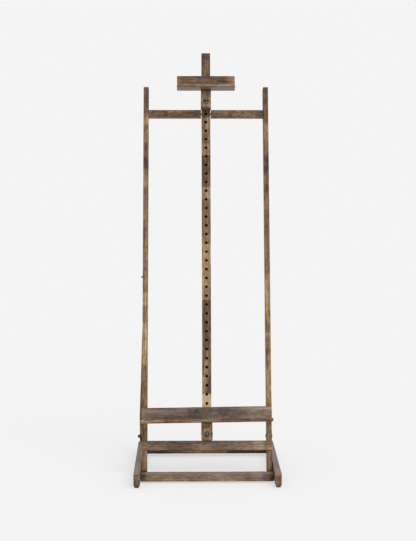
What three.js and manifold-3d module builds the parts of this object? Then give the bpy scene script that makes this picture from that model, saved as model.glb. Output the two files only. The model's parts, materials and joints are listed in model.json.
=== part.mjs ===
// Standing easel: a base of two runners and two stretchers, a frame of two posts with a drilled mast,
// two rear struts, and a clamp and a tray that slide on the mast. Millimetres, Z up, front towards -Y.
import * as THREE from "three";
import { mergeVertices } from "three/addons/utils/BufferGeometryUtils.js";
import Module from "manifold-3d";

const wasm = await Module();
wasm.setup();

// Fits shared by all pieces
const JOINT_GAP = 0.3;
const SLIDE_GAP = 0.5;
const HOLE_PLAY = 0.3;
const CUT_EXTRA = 1;
const ARRIS = 1.5;
const SMALL_ARRIS = 0.5;
const ROUND_SIDES = 28;
const SMALL_SIDES = 16;

// Base
const BASE_WIDTH = 600;
const RUNNER_WIDTH = 26;
const RUNNER_LENGTH = 528;
const RUNNER_HEIGHT = 58.5;
const RUNNER_BEVEL_WIDTH = 6;
const RUNNER_BEVEL_HEIGHT = 14;
const RUNNER_PAD_LENGTH = 45;
const RUNNER_RELIEF = 3.5;
const RUNNER_NOSE_RADIUS = 14;
const STRETCHER_DEPTH = 46;
const FRONT_STRETCHER_HEIGHT = 29;
const REAR_STRETCHER_HEIGHT = 26;
const STRETCHER_TENON = 12;
const TENON_INSET = 6;
const FRONT_STRETCHER_Y = 72;
const FRONT_STRETCHER_LIFT = 7.5;
const REAR_STRETCHER_LIFT = 13.5;
const REAR_STRETCHER_MARGIN = 2;

// Frame, measured from its tilting axis along the posts
const LEAN = THREE.MathUtils.degToRad(15.5);
const PIVOT_Y = 178.6;
const PIVOT_Z = 31.5;
const POST_WIDTH = 22;
const POST_DEPTH = 44;
const POST_TOP = 1648.3;
const POST_RUNNER_GAP = 2;
const TOP_RAIL_BOTTOM = 1511.6;
const TOP_RAIL_HEIGHT = 33.6;
const TOP_RAIL_DEPTH = 24;
const TOP_RAIL_SETBACK = 1;
const TOP_RAIL_GAP = 2.2;
const DOWEL_DIAMETER = 8;
const DOWEL_IN_MAST = 10;
const DOWEL_IN_RAIL = 24;
const LOWER_RAIL_BOTTOM = 74.8;
const LOWER_RAIL_HEIGHT = 41;
const LOWER_RAIL_DEPTH = 22;
const MAST_LAP = 12;
const MAST_WIDTH = 38.2;
const MAST_DEPTH = 24;
const MAST_TOP = 1802.8;
const MAST_FOOT_MARGIN = 3;

// Rows of peg holes in the mast
const HOLE_DIAMETER = 12.4;
const HOLE_DEPTH = 19;
const HOLE_PITCH = 38.1;
const TRAY_PIN_HEIGHT = 144.5;
const TRAY_ROW_START = 194.3;
const TRAY_ROW_COUNT = 36;
const CLAMP_ROW_START = 1583.4;
const CLAMP_ROW_COUNT = 3;

// Rear struts, which hang on a pin in each post and slide on a bolt at the runner's rear
const STRUT_WIDTH = 32;
const STRUT_THICK = 18;
const STRUT_TONGUE_THICK = 10;
const STRUT_TONGUE_LENGTH = 66;
const STRUT_TONGUE_END = 15;
const STRUT_FOOT_STRAIGHT = 100;
const STRUT_FOOT_INSET = 15;
const STRUT_END_MARGIN = 14;
const STRUT_PIN_HEIGHT = 812.7;
const STRUT_PIN_BACK = 8;
const STRUT_PIN_DIAMETER = 8;
const STRUT_PIN_PROUD = 7;
const STRUT_SLOT_WALL = 10;
const LOCK_SLOT_PLAY = 1;
const STRUT_SLOT_ABOVE = 22;
const STRUT_SLOT_BELOW = 76;
const LEAN_UPRIGHT = THREE.MathUtils.degToRad(8.5);
const LEAN_BACK = THREE.MathUtils.degToRad(17);
const LOCK_BEHIND_RUNNER = 19;
const LOCK_ABOVE_RUNNER = 18;

// Iron plates that carry the locking bolts
const PLATE_THICK = 3;
const PLATE_EAR_RADIUS = 16;
const PLATE_LENGTH = 92;
const PLATE_TOP_MARGIN = 1.5;
const PLATE_STRIP = 14;

// Bolts, nuts and washers
const BOLT_DIAMETER = 8;
const BOLT_HEAD_DIAMETER = 18;
const BOLT_HEAD_HEIGHT = 2.5;
const LOCK_BOLT_REACH = 8.4;
const LOCK_NUT_HEIGHT = 2.5;
const LOCK_NUT_MARGIN = 0.3;
const WASHER_DIAMETER = 24;
const LOCK_WASHER_THICK = 2;
const PIVOT_WASHER_THICK = POST_RUNNER_GAP - HOLE_PLAY;
const NUT_ACROSS_CORNERS = 15;
const NUT_HEIGHT = 5;
const NUT_RECESS_DIAMETER = 18;
const HEAD_RECESS_DIAMETER = 20;
const HEAD_RECESS_DEPTH = 4;
const NUT_RECESS_DEPTH = 8;
const WING_HUB_DIAMETER = 13;
const WING_HUB_HEIGHT = 6;
const WING_SPAN = 36;
const WING_THICK = 2.6;
const WING_REACH = 8.2;
const WING_TIP_RADIUS = 4;
const WING_TURN = 75;

// Wood screws
const SCREW_HEAD_DIAMETER = 8.4;
const SCREW_HEAD_HEIGHT = 2.6;
const SCREW_DIAMETER = 4.4;
const SCREW_SLOT_WIDTH = 1.1;
const SCREW_SLOT_SHARE = 0.4;
const PLATE_SCREW_LENGTH = 18;
const FRAME_SCREW_LENGTH = 32;
const FOOT_SCREW_LENGTH = 18;
const STRAP_SCREW_LENGTH = 14;
const STRAP_SCREW_HEAD = 1;

// Sliding blocks of the clamp and the tray
const SLIDER_DEPTH = 20;
const STRAP_THICK = 2;
const STRAP_HEIGHT = 46;
const STRAP_REBATE = 13;
const STRAP_MARGIN = 6;
const CLAMP_BLOCK_WIDTH = 43.4;
const CLAMP_BLOCK_HEIGHT = 84.6;
const CLAMP_WIDTH = 252;
const CLAMP_LEDGE_DEPTH = 62;
const CLAMP_LEDGE_THICK = 13;
const CLAMP_BOARD_HEIGHT = 49;
const CLAMP_BOARD_THICK = 18;
const TRAY_BLOCK_WIDTH = 46.6;
const TRAY_BLOCK_HEIGHT = 73.6;
const TRAY_TILT = THREE.MathUtils.degToRad(0.8);
const TRAY_BOARD_WIDTH = 545;
const TRAY_LEDGE_OVERHANG = 3;
const TRAY_LEDGE_DEPTH = 70;
const TRAY_LEDGE_THICK = 14;
const TRAY_BOARD_HEIGHT = 50.5;
const TRAY_BOARD_THICK = 18;
const LEDGE_NOSE_RADIUS = 5;
const LEDGE_CORNER_RADIUS = 7;

// Locking pins with pull rings
const PIN_DIAMETER = 10;
const PIN_TRAVEL = 12;
const FERRULE_DIAMETER = 20;
const FERRULE_THICK = 2;
const FERRULE_SLEEVE_DIAMETER = 14;
const FERRULE_SLEEVE_LENGTH = 10;
const PIN_EYE_RADIUS = 5.5;
const PIN_EYE_THICK = 5;
const PIN_EYE_HOLE = 5;
const PIN_COLLAR_DIAMETER = 14;
const PIN_COLLAR_THICK = 2;
const PIN_NECK = 3.5;
const PIN_NECK_DIAMETER = 6;
const CLAMP_RING_RADIUS = 12;
const TRAY_RING_RADIUS = 7.5;
const RING_WIRE = 1.6;
const RING_SEGMENTS = 40;
const RING_WIRE_SIDES = 10;

// Lengths that follow from those above
const RUNNER_OUTER = BASE_WIDTH / 2;
const RUNNER_INNER = RUNNER_OUTER - RUNNER_WIDTH;
const POST_OUTER = RUNNER_INNER - POST_RUNNER_GAP;
const POST_INNER = POST_OUTER - POST_WIDTH;
const POST_CENTRE = (POST_OUTER + POST_INNER) / 2;
const STRUT_FOOT_CENTRE = RUNNER_OUTER - STRUT_FOOT_INSET;
const LOCK_Y = RUNNER_LENGTH + LOCK_BEHIND_RUNNER;
const LOCK_Z = RUNNER_HEIGHT + LOCK_ABOVE_RUNNER;
const TRAY_LEDGE_WIDTH = TRAY_BOARD_WIDTH + 2 * TRAY_LEDGE_OVERHANG;
const FRAME_FRONT = -POST_DEPTH / 2;
const MAST_BACK = FRAME_FRONT + MAST_DEPTH;
const TOP_RAIL_TOP = TOP_RAIL_BOTTOM + TOP_RAIL_HEIGHT;
const LOWER_RAIL_TOP = LOWER_RAIL_BOTTOM + LOWER_RAIL_HEIGHT;
const MAST_FOOT = LOWER_RAIL_BOTTOM + MAST_FOOT_MARGIN;
const PLATE_OUTER = RUNNER_INNER - JOINT_GAP;
const PLATE_INNER = PLATE_OUTER - PLATE_THICK;
const STRUT_OUTER = STRUT_FOOT_CENTRE + STRUT_THICK / 2;
const STRUT_INNER = STRUT_FOOT_CENTRE - STRUT_THICK / 2;
const SLIDER_BACK = FRAME_FRONT - SLIDE_GAP;
const SLIDER_FRONT = SLIDER_BACK - SLIDER_DEPTH;
const CLAMP_BLOCK_BOTTOM = TOP_RAIL_TOP + SLIDE_GAP;
const TRAY_BLOCK_BOTTOM = LOWER_RAIL_TOP + SLIDE_GAP;
const LOWER_RAIL_MIDDLE = LOWER_RAIL_BOTTOM + LOWER_RAIL_HEIGHT / 2;
const POST_BACK = POST_DEPTH / 2;
const TOP_RAIL_FRONT = FRAME_FRONT + TOP_RAIL_SETBACK;
const TOP_RAIL_BACK = TOP_RAIL_FRONT + TOP_RAIL_DEPTH;
const MAST_REAR_REACH = MAST_TOP * Math.sin(LEAN) + MAST_BACK * Math.cos(LEAN);
const OBJECT_DEPTH = PIVOT_Y + MAST_REAR_REACH;

// Where the strut's pin stands when the frame leans by the given angle
function strutPinAt(lean) {
  return {
    y: PIVOT_Y + STRUT_PIN_HEIGHT * Math.sin(lean) + STRUT_PIN_BACK * Math.cos(lean),
    z: PIVOT_Z + STRUT_PIN_HEIGHT * Math.cos(lean) - STRUT_PIN_BACK * Math.sin(lean),
  };
}

// Distance from the strut's pin to the locking bolt
function strutReach(lean) {
  const pin = strutPinAt(lean);
  return Math.hypot(LOCK_Y - pin.y, pin.z - LOCK_Z);
}

const PIN_NOW = strutPinAt(LEAN);
const REACH_NOW = strutReach(LEAN);
const REACH_LONG = strutReach(LEAN_UPRIGHT);
const REACH_SHORT = strutReach(LEAN_BACK);
const STRUT_ANGLE = Math.asin((LOCK_Y - PIN_NOW.y) / REACH_NOW);

// Surface materials
function wood(colour) {
  return new THREE.MeshStandardMaterial({ color: colour, roughness: 0.78, metalness: 0 });
}

function paintedIron() {
  return new THREE.MeshStandardMaterial({ color: 0x33302d, roughness: 0.55, metalness: 0.85 });
}

function greySteel() {
  return new THREE.MeshStandardMaterial({ color: 0x8c8985, roughness: 0.42, metalness: 0.95 });
}

const FRAME_WOOD = 0x73624e;
const BOARD_WOOD = 0x6e6252;
const MAST_WOOD = 0x7b6850;

// Solids
function solid(geometry) {
  const bare = geometry.index ? geometry.toNonIndexed() : geometry;
  const points = new THREE.BufferGeometry();
  points.setAttribute("position", bare.getAttribute("position"));
  const merged = mergeVertices(points, 1e-4);
  const mesh = new wasm.Mesh({
    numProp: 3,
    vertProperties: merged.getAttribute("position").array,
    triVerts: new Uint32Array(merged.index.array),
  });
  return new wasm.Manifold(mesh);
}

function cut(body, ...tools) {
  return tools.reduce((left, tool) => left.subtract(tool), body);
}

function join(body, ...others) {
  return others.reduce((sum, other) => sum.add(other), body);
}

function meshOf(name, body, material) {
  const made = body.getMesh();
  const geometry = new THREE.BufferGeometry();
  geometry.setAttribute("position", new THREE.BufferAttribute(made.vertProperties.slice(), made.numProp));
  geometry.setIndex(new THREE.BufferAttribute(made.triVerts.slice(), 1));
  geometry.computeVertexNormals();
  const mesh = new THREE.Mesh(geometry, material);
  mesh.name = name;
  return mesh;
}

// Closed outline from corner points
function outline(points) {
  return new THREE.Shape(points.map(([a, b]) => new THREE.Vector2(a, b)));
}

function extruded(shape, depth, bevel) {
  return new THREE.ExtrudeGeometry(shape, {
    depth: depth - 2 * bevel,
    bevelEnabled: bevel > 0,
    bevelSize: bevel,
    bevelThickness: bevel,
    bevelOffset: -bevel,
    bevelSegments: 1,
    curveSegments: SMALL_SIDES,
  }).translate(0, 0, bevel);
}

// Bar between two limits on each axis, with all its edges broken
function bar([x0, x1], [y0, y1], [z0, z1], arris = ARRIS) {
  const shape = outline([
    [x0 + arris, y0],
    [x1 - arris, y0],
    [x1, y0 + arris],
    [x1, y1 - arris],
    [x1 - arris, y1],
    [x0 + arris, y1],
    [x0, y1 - arris],
    [x0, y0 + arris],
  ]);
  return solid(extruded(shape, z1 - z0, arris).translate(0, 0, z0));
}

// Plain block between two limits on each axis, for cutting
function block([x0, x1], [y0, y1], [z0, z1]) {
  const geometry = new THREE.BoxGeometry(x1 - x0, y1 - y0, z1 - z0);
  return solid(geometry.translate((x0 + x1) / 2, (y0 + y1) / 2, (z0 + z1) / 2));
}

// Outline in the YZ plane, carried along X between two limits
function sidePlate(points, [x0, x1], bevel = 0) {
  const geometry = extruded(outline(points), x1 - x0, bevel);
  geometry.rotateX(Math.PI / 2).rotateZ(Math.PI / 2);
  return solid(geometry.translate(x0, 0, 0));
}

// Round bars along each axis
function rodX(diameter, [x0, x1], y, z, sides = ROUND_SIDES) {
  const geometry = new THREE.CylinderGeometry(diameter / 2, diameter / 2, x1 - x0, sides);
  return solid(geometry.rotateZ(Math.PI / 2).translate((x0 + x1) / 2, y, z));
}

function rodY(diameter, x, [y0, y1], z, sides = ROUND_SIDES) {
  const geometry = new THREE.CylinderGeometry(diameter / 2, diameter / 2, y1 - y0, sides);
  return solid(geometry.translate(x, (y0 + y1) / 2, z));
}

// Turned shape from radius and height pairs, its axis along +Z
function turned(profile, sides = ROUND_SIDES) {
  const points = profile.map(([radius, height]) => new THREE.Vector2(radius, height));
  return new THREE.LatheGeometry(points, sides).rotateX(Math.PI / 2);
}

// The two limits of a span that starts at a distance from the middle plane on the given side
function sideSpan(side, near, far) {
  return side < 0 ? [-far, -near] : [near, far];
}

function arcPoints(centreY, centreZ, radius, from, to, steps) {
  return Array.from({ length: steps + 1 }, (unused, i) => {
    const angle = from + ((to - from) * i) / steps;
    return [centreY + radius * Math.cos(angle), centreZ + radius * Math.sin(angle)];
  });
}

// Base pieces
function runner(side) {
  const profile = [
    ...arcPoints(RUNNER_NOSE_RADIUS, RUNNER_NOSE_RADIUS, RUNNER_NOSE_RADIUS, Math.PI, 1.5 * Math.PI, SMALL_SIDES / 2),
    [RUNNER_PAD_LENGTH, 0],
    [RUNNER_PAD_LENGTH + RUNNER_RELIEF, RUNNER_RELIEF],
    [RUNNER_LENGTH - RUNNER_PAD_LENGTH - RUNNER_RELIEF, RUNNER_RELIEF],
    [RUNNER_LENGTH - RUNNER_PAD_LENGTH, 0],
    [RUNNER_LENGTH, 0],
    [RUNNER_LENGTH, RUNNER_HEIGHT],
    [0, RUNNER_HEIGHT],
  ];
  const span = sideSpan(side, RUNNER_INNER, RUNNER_OUTER);
  const inner = side * RUNNER_INNER;
  const outer = side * RUNNER_OUTER;
  const through = sideSpan(side, RUNNER_INNER - CUT_EXTRA, RUNNER_OUTER + CUT_EXTRA);
  const recess = sideSpan(side, RUNNER_OUTER - HEAD_RECESS_DEPTH, RUNNER_OUTER + CUT_EXTRA);
  return cut(
    sidePlate(profile, span, ARRIS),
    footBevel(inner, side),
    footBevel(outer, -side),
    rodX(BOLT_DIAMETER + HOLE_PLAY, through, PIVOT_Y, PIVOT_Z),
    rodX(HEAD_RECESS_DIAMETER, recess, PIVOT_Y, PIVOT_Z),
    stretcherTenon(side, frontStretcherPlace(), JOINT_GAP),
    stretcherTenon(side, rearStretcherPlace(), JOINT_GAP),
    ...plateScrewPlaces().map((place) => screwHole(side, place, PLATE_SCREW_LENGTH)),
  );
}

// Long wedge that takes the lower arris off a runner; the runner lies towards the given side of x
function footBevel(x, side) {
  const width = RUNNER_BEVEL_WIDTH;
  const height = RUNNER_BEVEL_HEIGHT;
  const wedge = outline([
    [x + side * width, 0],
    [x, height],
    [x - side * width, height],
    [x - side * width, -CUT_EXTRA],
    [x + side * width, -CUT_EXTRA],
  ]);
  const length = RUNNER_LENGTH + 2 * CUT_EXTRA;
  const geometry = extruded(wedge, length, 0).rotateX(Math.PI / 2);
  return solid(geometry.translate(0, length - CUT_EXTRA, 0));
}

function frontStretcherPlace() {
  return { y: FRONT_STRETCHER_Y, lift: FRONT_STRETCHER_LIFT, height: FRONT_STRETCHER_HEIGHT };
}

function rearStretcherPlace() {
  const y = RUNNER_LENGTH - REAR_STRETCHER_MARGIN - STRETCHER_DEPTH;
  return { y, lift: REAR_STRETCHER_LIFT, height: REAR_STRETCHER_HEIGHT };
}

// Tenon at a stretcher's end, or with play the mortise it enters
function stretcherTenon(side, { y, lift, height }, play) {
  return block(
    sideSpan(side, RUNNER_INNER - 2 * CUT_EXTRA, RUNNER_INNER + STRETCHER_TENON + play),
    [y + TENON_INSET - play, y + STRETCHER_DEPTH - TENON_INSET + play],
    [lift + TENON_INSET - play, lift + height - TENON_INSET + play],
  );
}

function stretcher(place) {
  const { y, lift, height } = place;
  const end = RUNNER_INNER - JOINT_GAP;
  const body = bar([-end, end], [y, y + STRETCHER_DEPTH], [lift, lift + height]);
  return join(body, stretcherTenon(-1, place, 0), stretcherTenon(1, place, 0));
}

// Screw positions along the plate's strip
function plateScrewPlaces() {
  const height = RUNNER_HEIGHT - PLATE_TOP_MARGIN - PLATE_STRIP / 2;
  const rear = RUNNER_LENGTH - PLATE_STRIP;
  const front = RUNNER_LENGTH - PLATE_LENGTH + PLATE_STRIP / 2;
  return [
    { y: front, z: height },
    { y: rear, z: height },
  ];
}

function lockPlate(side) {
  const top = RUNNER_HEIGHT - PLATE_TOP_MARGIN;
  const bottom = top - PLATE_STRIP;
  const front = RUNNER_LENGTH - PLATE_LENGTH;
  const rise = LOCK_Y - PLATE_EAR_RADIUS * 2;
  const profile = [
    [front, bottom],
    [RUNNER_LENGTH, bottom],
    ...arcPoints(LOCK_Y, LOCK_Z, PLATE_EAR_RADIUS, -Math.PI / 3, (Math.PI * 5) / 6, SMALL_SIDES),
    [rise, top],
    [front, top],
  ];
  const span = sideSpan(side, PLATE_INNER, PLATE_OUTER);
  const through = sideSpan(side, PLATE_INNER - CUT_EXTRA, PLATE_OUTER + CUT_EXTRA);
  const plate = sidePlate(profile, span);
  const holes = plateScrewPlaces().map(({ y, z }) => rodX(SCREW_DIAMETER + HOLE_PLAY, through, y, z, SMALL_SIDES));
  return cut(plate, rodX(BOLT_DIAMETER + HOLE_PLAY, through, LOCK_Y, LOCK_Z), ...holes);
}

// Hole for a screw that enters the runner from its inner face
function screwHole(side, { y, z }, length) {
  const deep = RUNNER_INNER + length;
  return rodX(SCREW_DIAMETER + HOLE_PLAY, sideSpan(side, RUNNER_INNER - CUT_EXTRA, deep), y, z, SMALL_SIDES);
}

// Slotted round-head screw, its head at zero and its shank towards -Z
function screw(length, headHeight = SCREW_HEAD_HEIGHT) {
  const head = SCREW_HEAD_DIAMETER / 2;
  const shank = SCREW_DIAMETER / 2;
  const body = solid(
    turned(
      [
        [0, -length],
        [shank, SCREW_DIAMETER - length],
        [shank, 0],
        [head, 0],
        [head, headHeight / 2],
        [head / 2, headHeight],
        [0, headHeight],
      ],
      SMALL_SIDES,
    ),
  );
  const reach = head + CUT_EXTRA;
  const floor = headHeight * (1 - SCREW_SLOT_SHARE);
  const slot = block(
    [-reach, reach],
    [-SCREW_SLOT_WIDTH / 2, SCREW_SLOT_WIDTH / 2],
    [floor, headHeight + CUT_EXTRA],
  );
  return cut(body, slot);
}

// Washer between two distances from the middle plane
function washer(side, near, far, y, z) {
  const hole = sideSpan(side, near - CUT_EXTRA, far + CUT_EXTRA);
  return cut(rodX(WASHER_DIAMETER, sideSpan(side, near, far), y, z), rodX(BOLT_DIAMETER + HOLE_PLAY, hole, y, z));
}

// Domed bolt with its head at zero and its shank along +Z
function domedBolt(length) {
  const head = BOLT_HEAD_DIAMETER / 2;
  const shank = BOLT_DIAMETER / 2;
  return turned([
    [0, -BOLT_HEAD_HEIGHT],
    [head / 2, -BOLT_HEAD_HEIGHT],
    [head, -SMALL_ARRIS],
    [head, 0],
    [shank, 0],
    [shank, length - SMALL_ARRIS],
    [shank - SMALL_ARRIS, length],
    [0, length],
  ]);
}

// Places a +Z shape with its start at x and its axis along X in the given direction
function alongX(geometry, direction, x, y, z) {
  return solid(geometry.rotateY((direction * Math.PI) / 2).translate(x, y, z));
}

function pivotBolt(side) {
  const start = RUNNER_OUTER - HEAD_RECESS_DEPTH + JOINT_GAP;
  const end = POST_INNER + SMALL_ARRIS;
  return alongX(domedBolt(start - end), -side, side * start, PIVOT_Y, PIVOT_Z);
}

function pivotNut(side) {
  const near = POST_INNER + NUT_RECESS_DEPTH - JOINT_GAP - NUT_HEIGHT;
  return hexNut(side, near, NUT_HEIGHT, PIVOT_Y, PIVOT_Z);
}

function hexNut(side, near, height, y, z) {
  const span = sideSpan(side, near, near + height);
  const hole = sideSpan(side, near - CUT_EXTRA, near + height + CUT_EXTRA);
  return cut(rodX(NUT_ACROSS_CORNERS, span, y, z, 6), rodX(BOLT_DIAMETER + HOLE_PLAY, hole, y, z));
}

// Distances from the middle plane of the pieces on the locking bolt, from its head outwards
function lockStack() {
  const head = PLATE_INNER - JOINT_GAP;
  const spacerNear = PLATE_OUTER + HOLE_PLAY;
  const spacerFar = STRUT_INNER - HOLE_PLAY;
  const washerNear = STRUT_OUTER + HOLE_PLAY;
  const washerFar = washerNear + LOCK_WASHER_THICK;
  const nutNear = washerFar + HOLE_PLAY;
  const innerNutNear = head - LOCK_NUT_HEIGHT;
  return { head, spacerNear, spacerFar, washerNear, washerFar, nutNear, innerNutNear };
}

// The left bolt points outwards and ends in the wing nut; the right one points inwards
function lockBolt(side) {
  const { head, nutNear, innerNutNear } = lockStack();
  const start = side < 0 ? head : nutNear;
  const end = side < 0 ? nutNear + LOCK_BOLT_REACH : innerNutNear - LOCK_NUT_MARGIN;
  const direction = side * Math.sign(end - start);
  return alongX(domedBolt(Math.abs(end - start)), direction, side * start, LOCK_Y, LOCK_Z);
}

// Wing nut on the left bolt, turned from upright
function wingNut() {
  const near = lockStack().nutNear;
  const far = near + WING_HUB_HEIGHT;
  const hub = rodX(WING_HUB_DIAMETER, sideSpan(-1, near, far), 0, 0);
  const half = WING_SPAN / 2;
  const tip = near + WING_REACH;
  const rim = WING_HUB_DIAMETER / 2;
  const shape = outline([
    [near + SMALL_ARRIS, 0],
    [far - SMALL_ARRIS, 0],
    [far - SMALL_ARRIS, rim],
    [tip, half - WING_TIP_RADIUS],
    [tip - SMALL_ARRIS, half - SMALL_ARRIS],
    [tip - WING_TIP_RADIUS / 2, half],
    [far - WING_TIP_RADIUS / 2, half - WING_TIP_RADIUS],
    [near + SMALL_ARRIS, rim],
  ]);
  const wing = extruded(shape, WING_THICK, 0);
  wing.translate(0, 0, -WING_THICK / 2).rotateX(Math.PI / 2);
  const upper = solid(wing.clone().rotateZ(Math.PI));
  const lower = solid(wing.clone().rotateY(Math.PI));
  const hole = rodX(BOLT_DIAMETER + HOLE_PLAY, sideSpan(-1, near - CUT_EXTRA, tip + CUT_EXTRA), 0, 0);
  return cut(join(hub, upper, lower), hole).rotate([WING_TURN, 0, 0]).translate([0, LOCK_Y, LOCK_Z]);
}

// Frame pieces, in the frame's own axes with the tilting axis at zero
function post(side) {
  const span = sideSpan(side, POST_INNER, POST_OUTER);
  const radius = POST_DEPTH / 2;
  const profile = [
    ...arcPoints(0, 0, radius, Math.PI, 2 * Math.PI, SMALL_SIDES),
    [radius, POST_TOP],
    [-radius, POST_TOP],
  ];
  const through = sideSpan(side, POST_INNER - CUT_EXTRA, POST_OUTER + CUT_EXTRA);
  const recess = sideSpan(side, POST_INNER - CUT_EXTRA, POST_INNER + NUT_RECESS_DEPTH);
  return cut(
    sidePlate(profile, span, ARRIS),
    rodX(BOLT_DIAMETER + HOLE_PLAY, through, 0, 0),
    rodX(NUT_RECESS_DIAMETER, recess, 0, 0),
    rodX(STRUT_PIN_DIAMETER + JOINT_GAP, through, STRUT_PIN_BACK, STRUT_PIN_HEIGHT),
    strutSlot(side),
    lapNotch(side),
    topRailTenon(side, JOINT_GAP),
    frameScrewHole(side * POST_CENTRE, LOWER_RAIL_MIDDLE, POST_BACK, FRAME_SCREW_LENGTH),
  );
}

// Slot in the back of a post that takes the tongue of the strut
function strutSlot(side) {
  const half = STRUT_TONGUE_THICK / 2 + SLIDE_GAP;
  const front = FRAME_FRONT + STRUT_SLOT_WALL;
  return block(
    sideSpan(side, POST_CENTRE - half, POST_CENTRE + half),
    [front, POST_DEPTH / 2 + CUT_EXTRA],
    [STRUT_PIN_HEIGHT - STRUT_SLOT_BELOW, STRUT_PIN_HEIGHT + STRUT_SLOT_ABOVE],
  );
}

// Notch in the front of a post that takes the end of the lower rail
function lapNotch(side) {
  return block(
    sideSpan(side, POST_INNER - CUT_EXTRA, POST_OUTER + CUT_EXTRA),
    [FRAME_FRONT - CUT_EXTRA, FRAME_FRONT + LOWER_RAIL_DEPTH + JOINT_GAP],
    [LOWER_RAIL_BOTTOM - JOINT_GAP, LOWER_RAIL_TOP + JOINT_GAP],
  );
}

function topRailTenon(side, play) {
  const front = TOP_RAIL_FRONT + TENON_INSET;
  const back = TOP_RAIL_BACK - TENON_INSET;
  return block(
    sideSpan(side, POST_INNER - 2 * CUT_EXTRA, POST_INNER + STRETCHER_TENON + play),
    [front - play, back + play],
    [TOP_RAIL_BOTTOM + TENON_INSET - play, TOP_RAIL_TOP - TENON_INSET + play],
  );
}

// Dowel that ties half of the top rail to the mast, or with play the hole it enters
function dowel(side, play) {
  const near = MAST_WIDTH / 2 - DOWEL_IN_MAST - play;
  const far = MAST_WIDTH / 2 + TOP_RAIL_GAP + DOWEL_IN_RAIL + play;
  const y = (TOP_RAIL_FRONT + TOP_RAIL_BACK) / 2;
  const z = (TOP_RAIL_BOTTOM + TOP_RAIL_TOP) / 2;
  return rodX(DOWEL_DIAMETER + play, sideSpan(side, near, far), y, z);
}

// Hole for a screw that is driven in from behind, at height z
function frameScrewHole(x, z, back, length) {
  return rodY(SCREW_DIAMETER + HOLE_PLAY, x, [back - length - HOLE_PLAY, back + CUT_EXTRA], z, SMALL_SIDES);
}

function frameScrew(x, z, back, length) {
  const body = screw(length).rotate([-90, 0, 0]);
  return body.translate([x, back + HOLE_PLAY / 2, z]);
}

function topRail(side) {
  const span = sideSpan(side, MAST_WIDTH / 2 + TOP_RAIL_GAP, POST_INNER - JOINT_GAP);
  const body = bar(span, [TOP_RAIL_FRONT, TOP_RAIL_BACK], [TOP_RAIL_BOTTOM, TOP_RAIL_TOP]);
  return cut(join(body, topRailTenon(side, 0)), dowel(side, JOINT_GAP));
}

function lowerRail() {
  const back = FRAME_FRONT + LOWER_RAIL_DEPTH;
  const body = bar([-POST_OUTER, POST_OUTER], [FRAME_FRONT, back], [LOWER_RAIL_BOTTOM, LOWER_RAIL_TOP]);
  const half = MAST_WIDTH / 2 + JOINT_GAP;
  const notch = block(
    [-half, half],
    [FRAME_FRONT + MAST_LAP, back + CUT_EXTRA],
    [LOWER_RAIL_BOTTOM - CUT_EXTRA, LOWER_RAIL_TOP + CUT_EXTRA],
  );
  const places = [-POST_CENTRE, POST_CENTRE];
  const lapHoles = places.map((x) => frameScrewHole(x, LOWER_RAIL_MIDDLE, POST_BACK, FRAME_SCREW_LENGTH));
  return cut(body, notch, ...lapHoles, frameScrewHole(0, LOWER_RAIL_MIDDLE, MAST_BACK, FOOT_SCREW_LENGTH));
}

function rowHoles(start, count) {
  return Array.from({ length: count }, (unused, i) => {
    const span = [FRAME_FRONT - CUT_EXTRA, FRAME_FRONT + HOLE_DEPTH];
    return rodY(HOLE_DIAMETER, 0, span, start + i * HOLE_PITCH, SMALL_SIDES);
  });
}

function mast() {
  const half = MAST_WIDTH / 2;
  const body = bar([-half, half], [FRAME_FRONT, MAST_BACK], [MAST_FOOT, MAST_TOP]);
  const lap = block(
    [-half - CUT_EXTRA, half + CUT_EXTRA],
    [FRAME_FRONT - CUT_EXTRA, FRAME_FRONT + MAST_LAP + JOINT_GAP],
    [MAST_FOOT - CUT_EXTRA, LOWER_RAIL_TOP + JOINT_GAP],
  );
  return cut(
    body,
    lap,
    ...rowHoles(TRAY_PIN_HEIGHT, 1),
    ...rowHoles(TRAY_ROW_START, TRAY_ROW_COUNT),
    ...rowHoles(CLAMP_ROW_START, CLAMP_ROW_COUNT),
    dowel(-1, JOINT_GAP),
    dowel(1, JOINT_GAP),
    frameScrewHole(0, LOWER_RAIL_MIDDLE, MAST_BACK, FOOT_SCREW_LENGTH),
  );
}

// Strut in its own axes: pin at zero, length towards -Z, width along Y
function strut(side) {
  const head = side * POST_CENTRE;
  const foot = side * STRUT_FOOT_CENTRE;
  const tongue = STRUT_TONGUE_THICK / 2;
  const body = STRUT_THICK / 2;
  const end = -(REACH_LONG + STRUT_END_MARGIN);
  const shoulder = -STRUT_TONGUE_LENGTH;
  const knee = -(REACH_NOW - STRUT_FOOT_STRAIGHT);
  const shape = outline([
    [head - tongue, STRUT_TONGUE_END],
    [head - tongue, shoulder],
    [head - body, shoulder],
    [foot - body, knee],
    [foot - body, end],
    [foot + body, end],
    [foot + body, knee],
    [head + body, shoulder],
    [head + tongue, shoulder],
    [head + tongue, STRUT_TONGUE_END],
  ]);
  const half = STRUT_WIDTH / 2;
  const blank = solid(extruded(shape, STRUT_WIDTH, ARRIS).rotateX(Math.PI / 2).translate(0, half, 0));
  const span = sideSpan(side, POST_INNER - POST_WIDTH, RUNNER_OUTER + CUT_EXTRA);
  const profile = [
    ...arcPoints(0, end + half, half, Math.PI, 2 * Math.PI, SMALL_SIDES),
    ...arcPoints(0, STRUT_TONGUE_END - half, half, 0, Math.PI, SMALL_SIDES),
  ];
  const rounded = blank.intersect(sidePlate(profile, span));
  return cut(rounded, rodX(STRUT_PIN_DIAMETER + JOINT_GAP, span, 0, 0), lockSlot(span));
}

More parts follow.
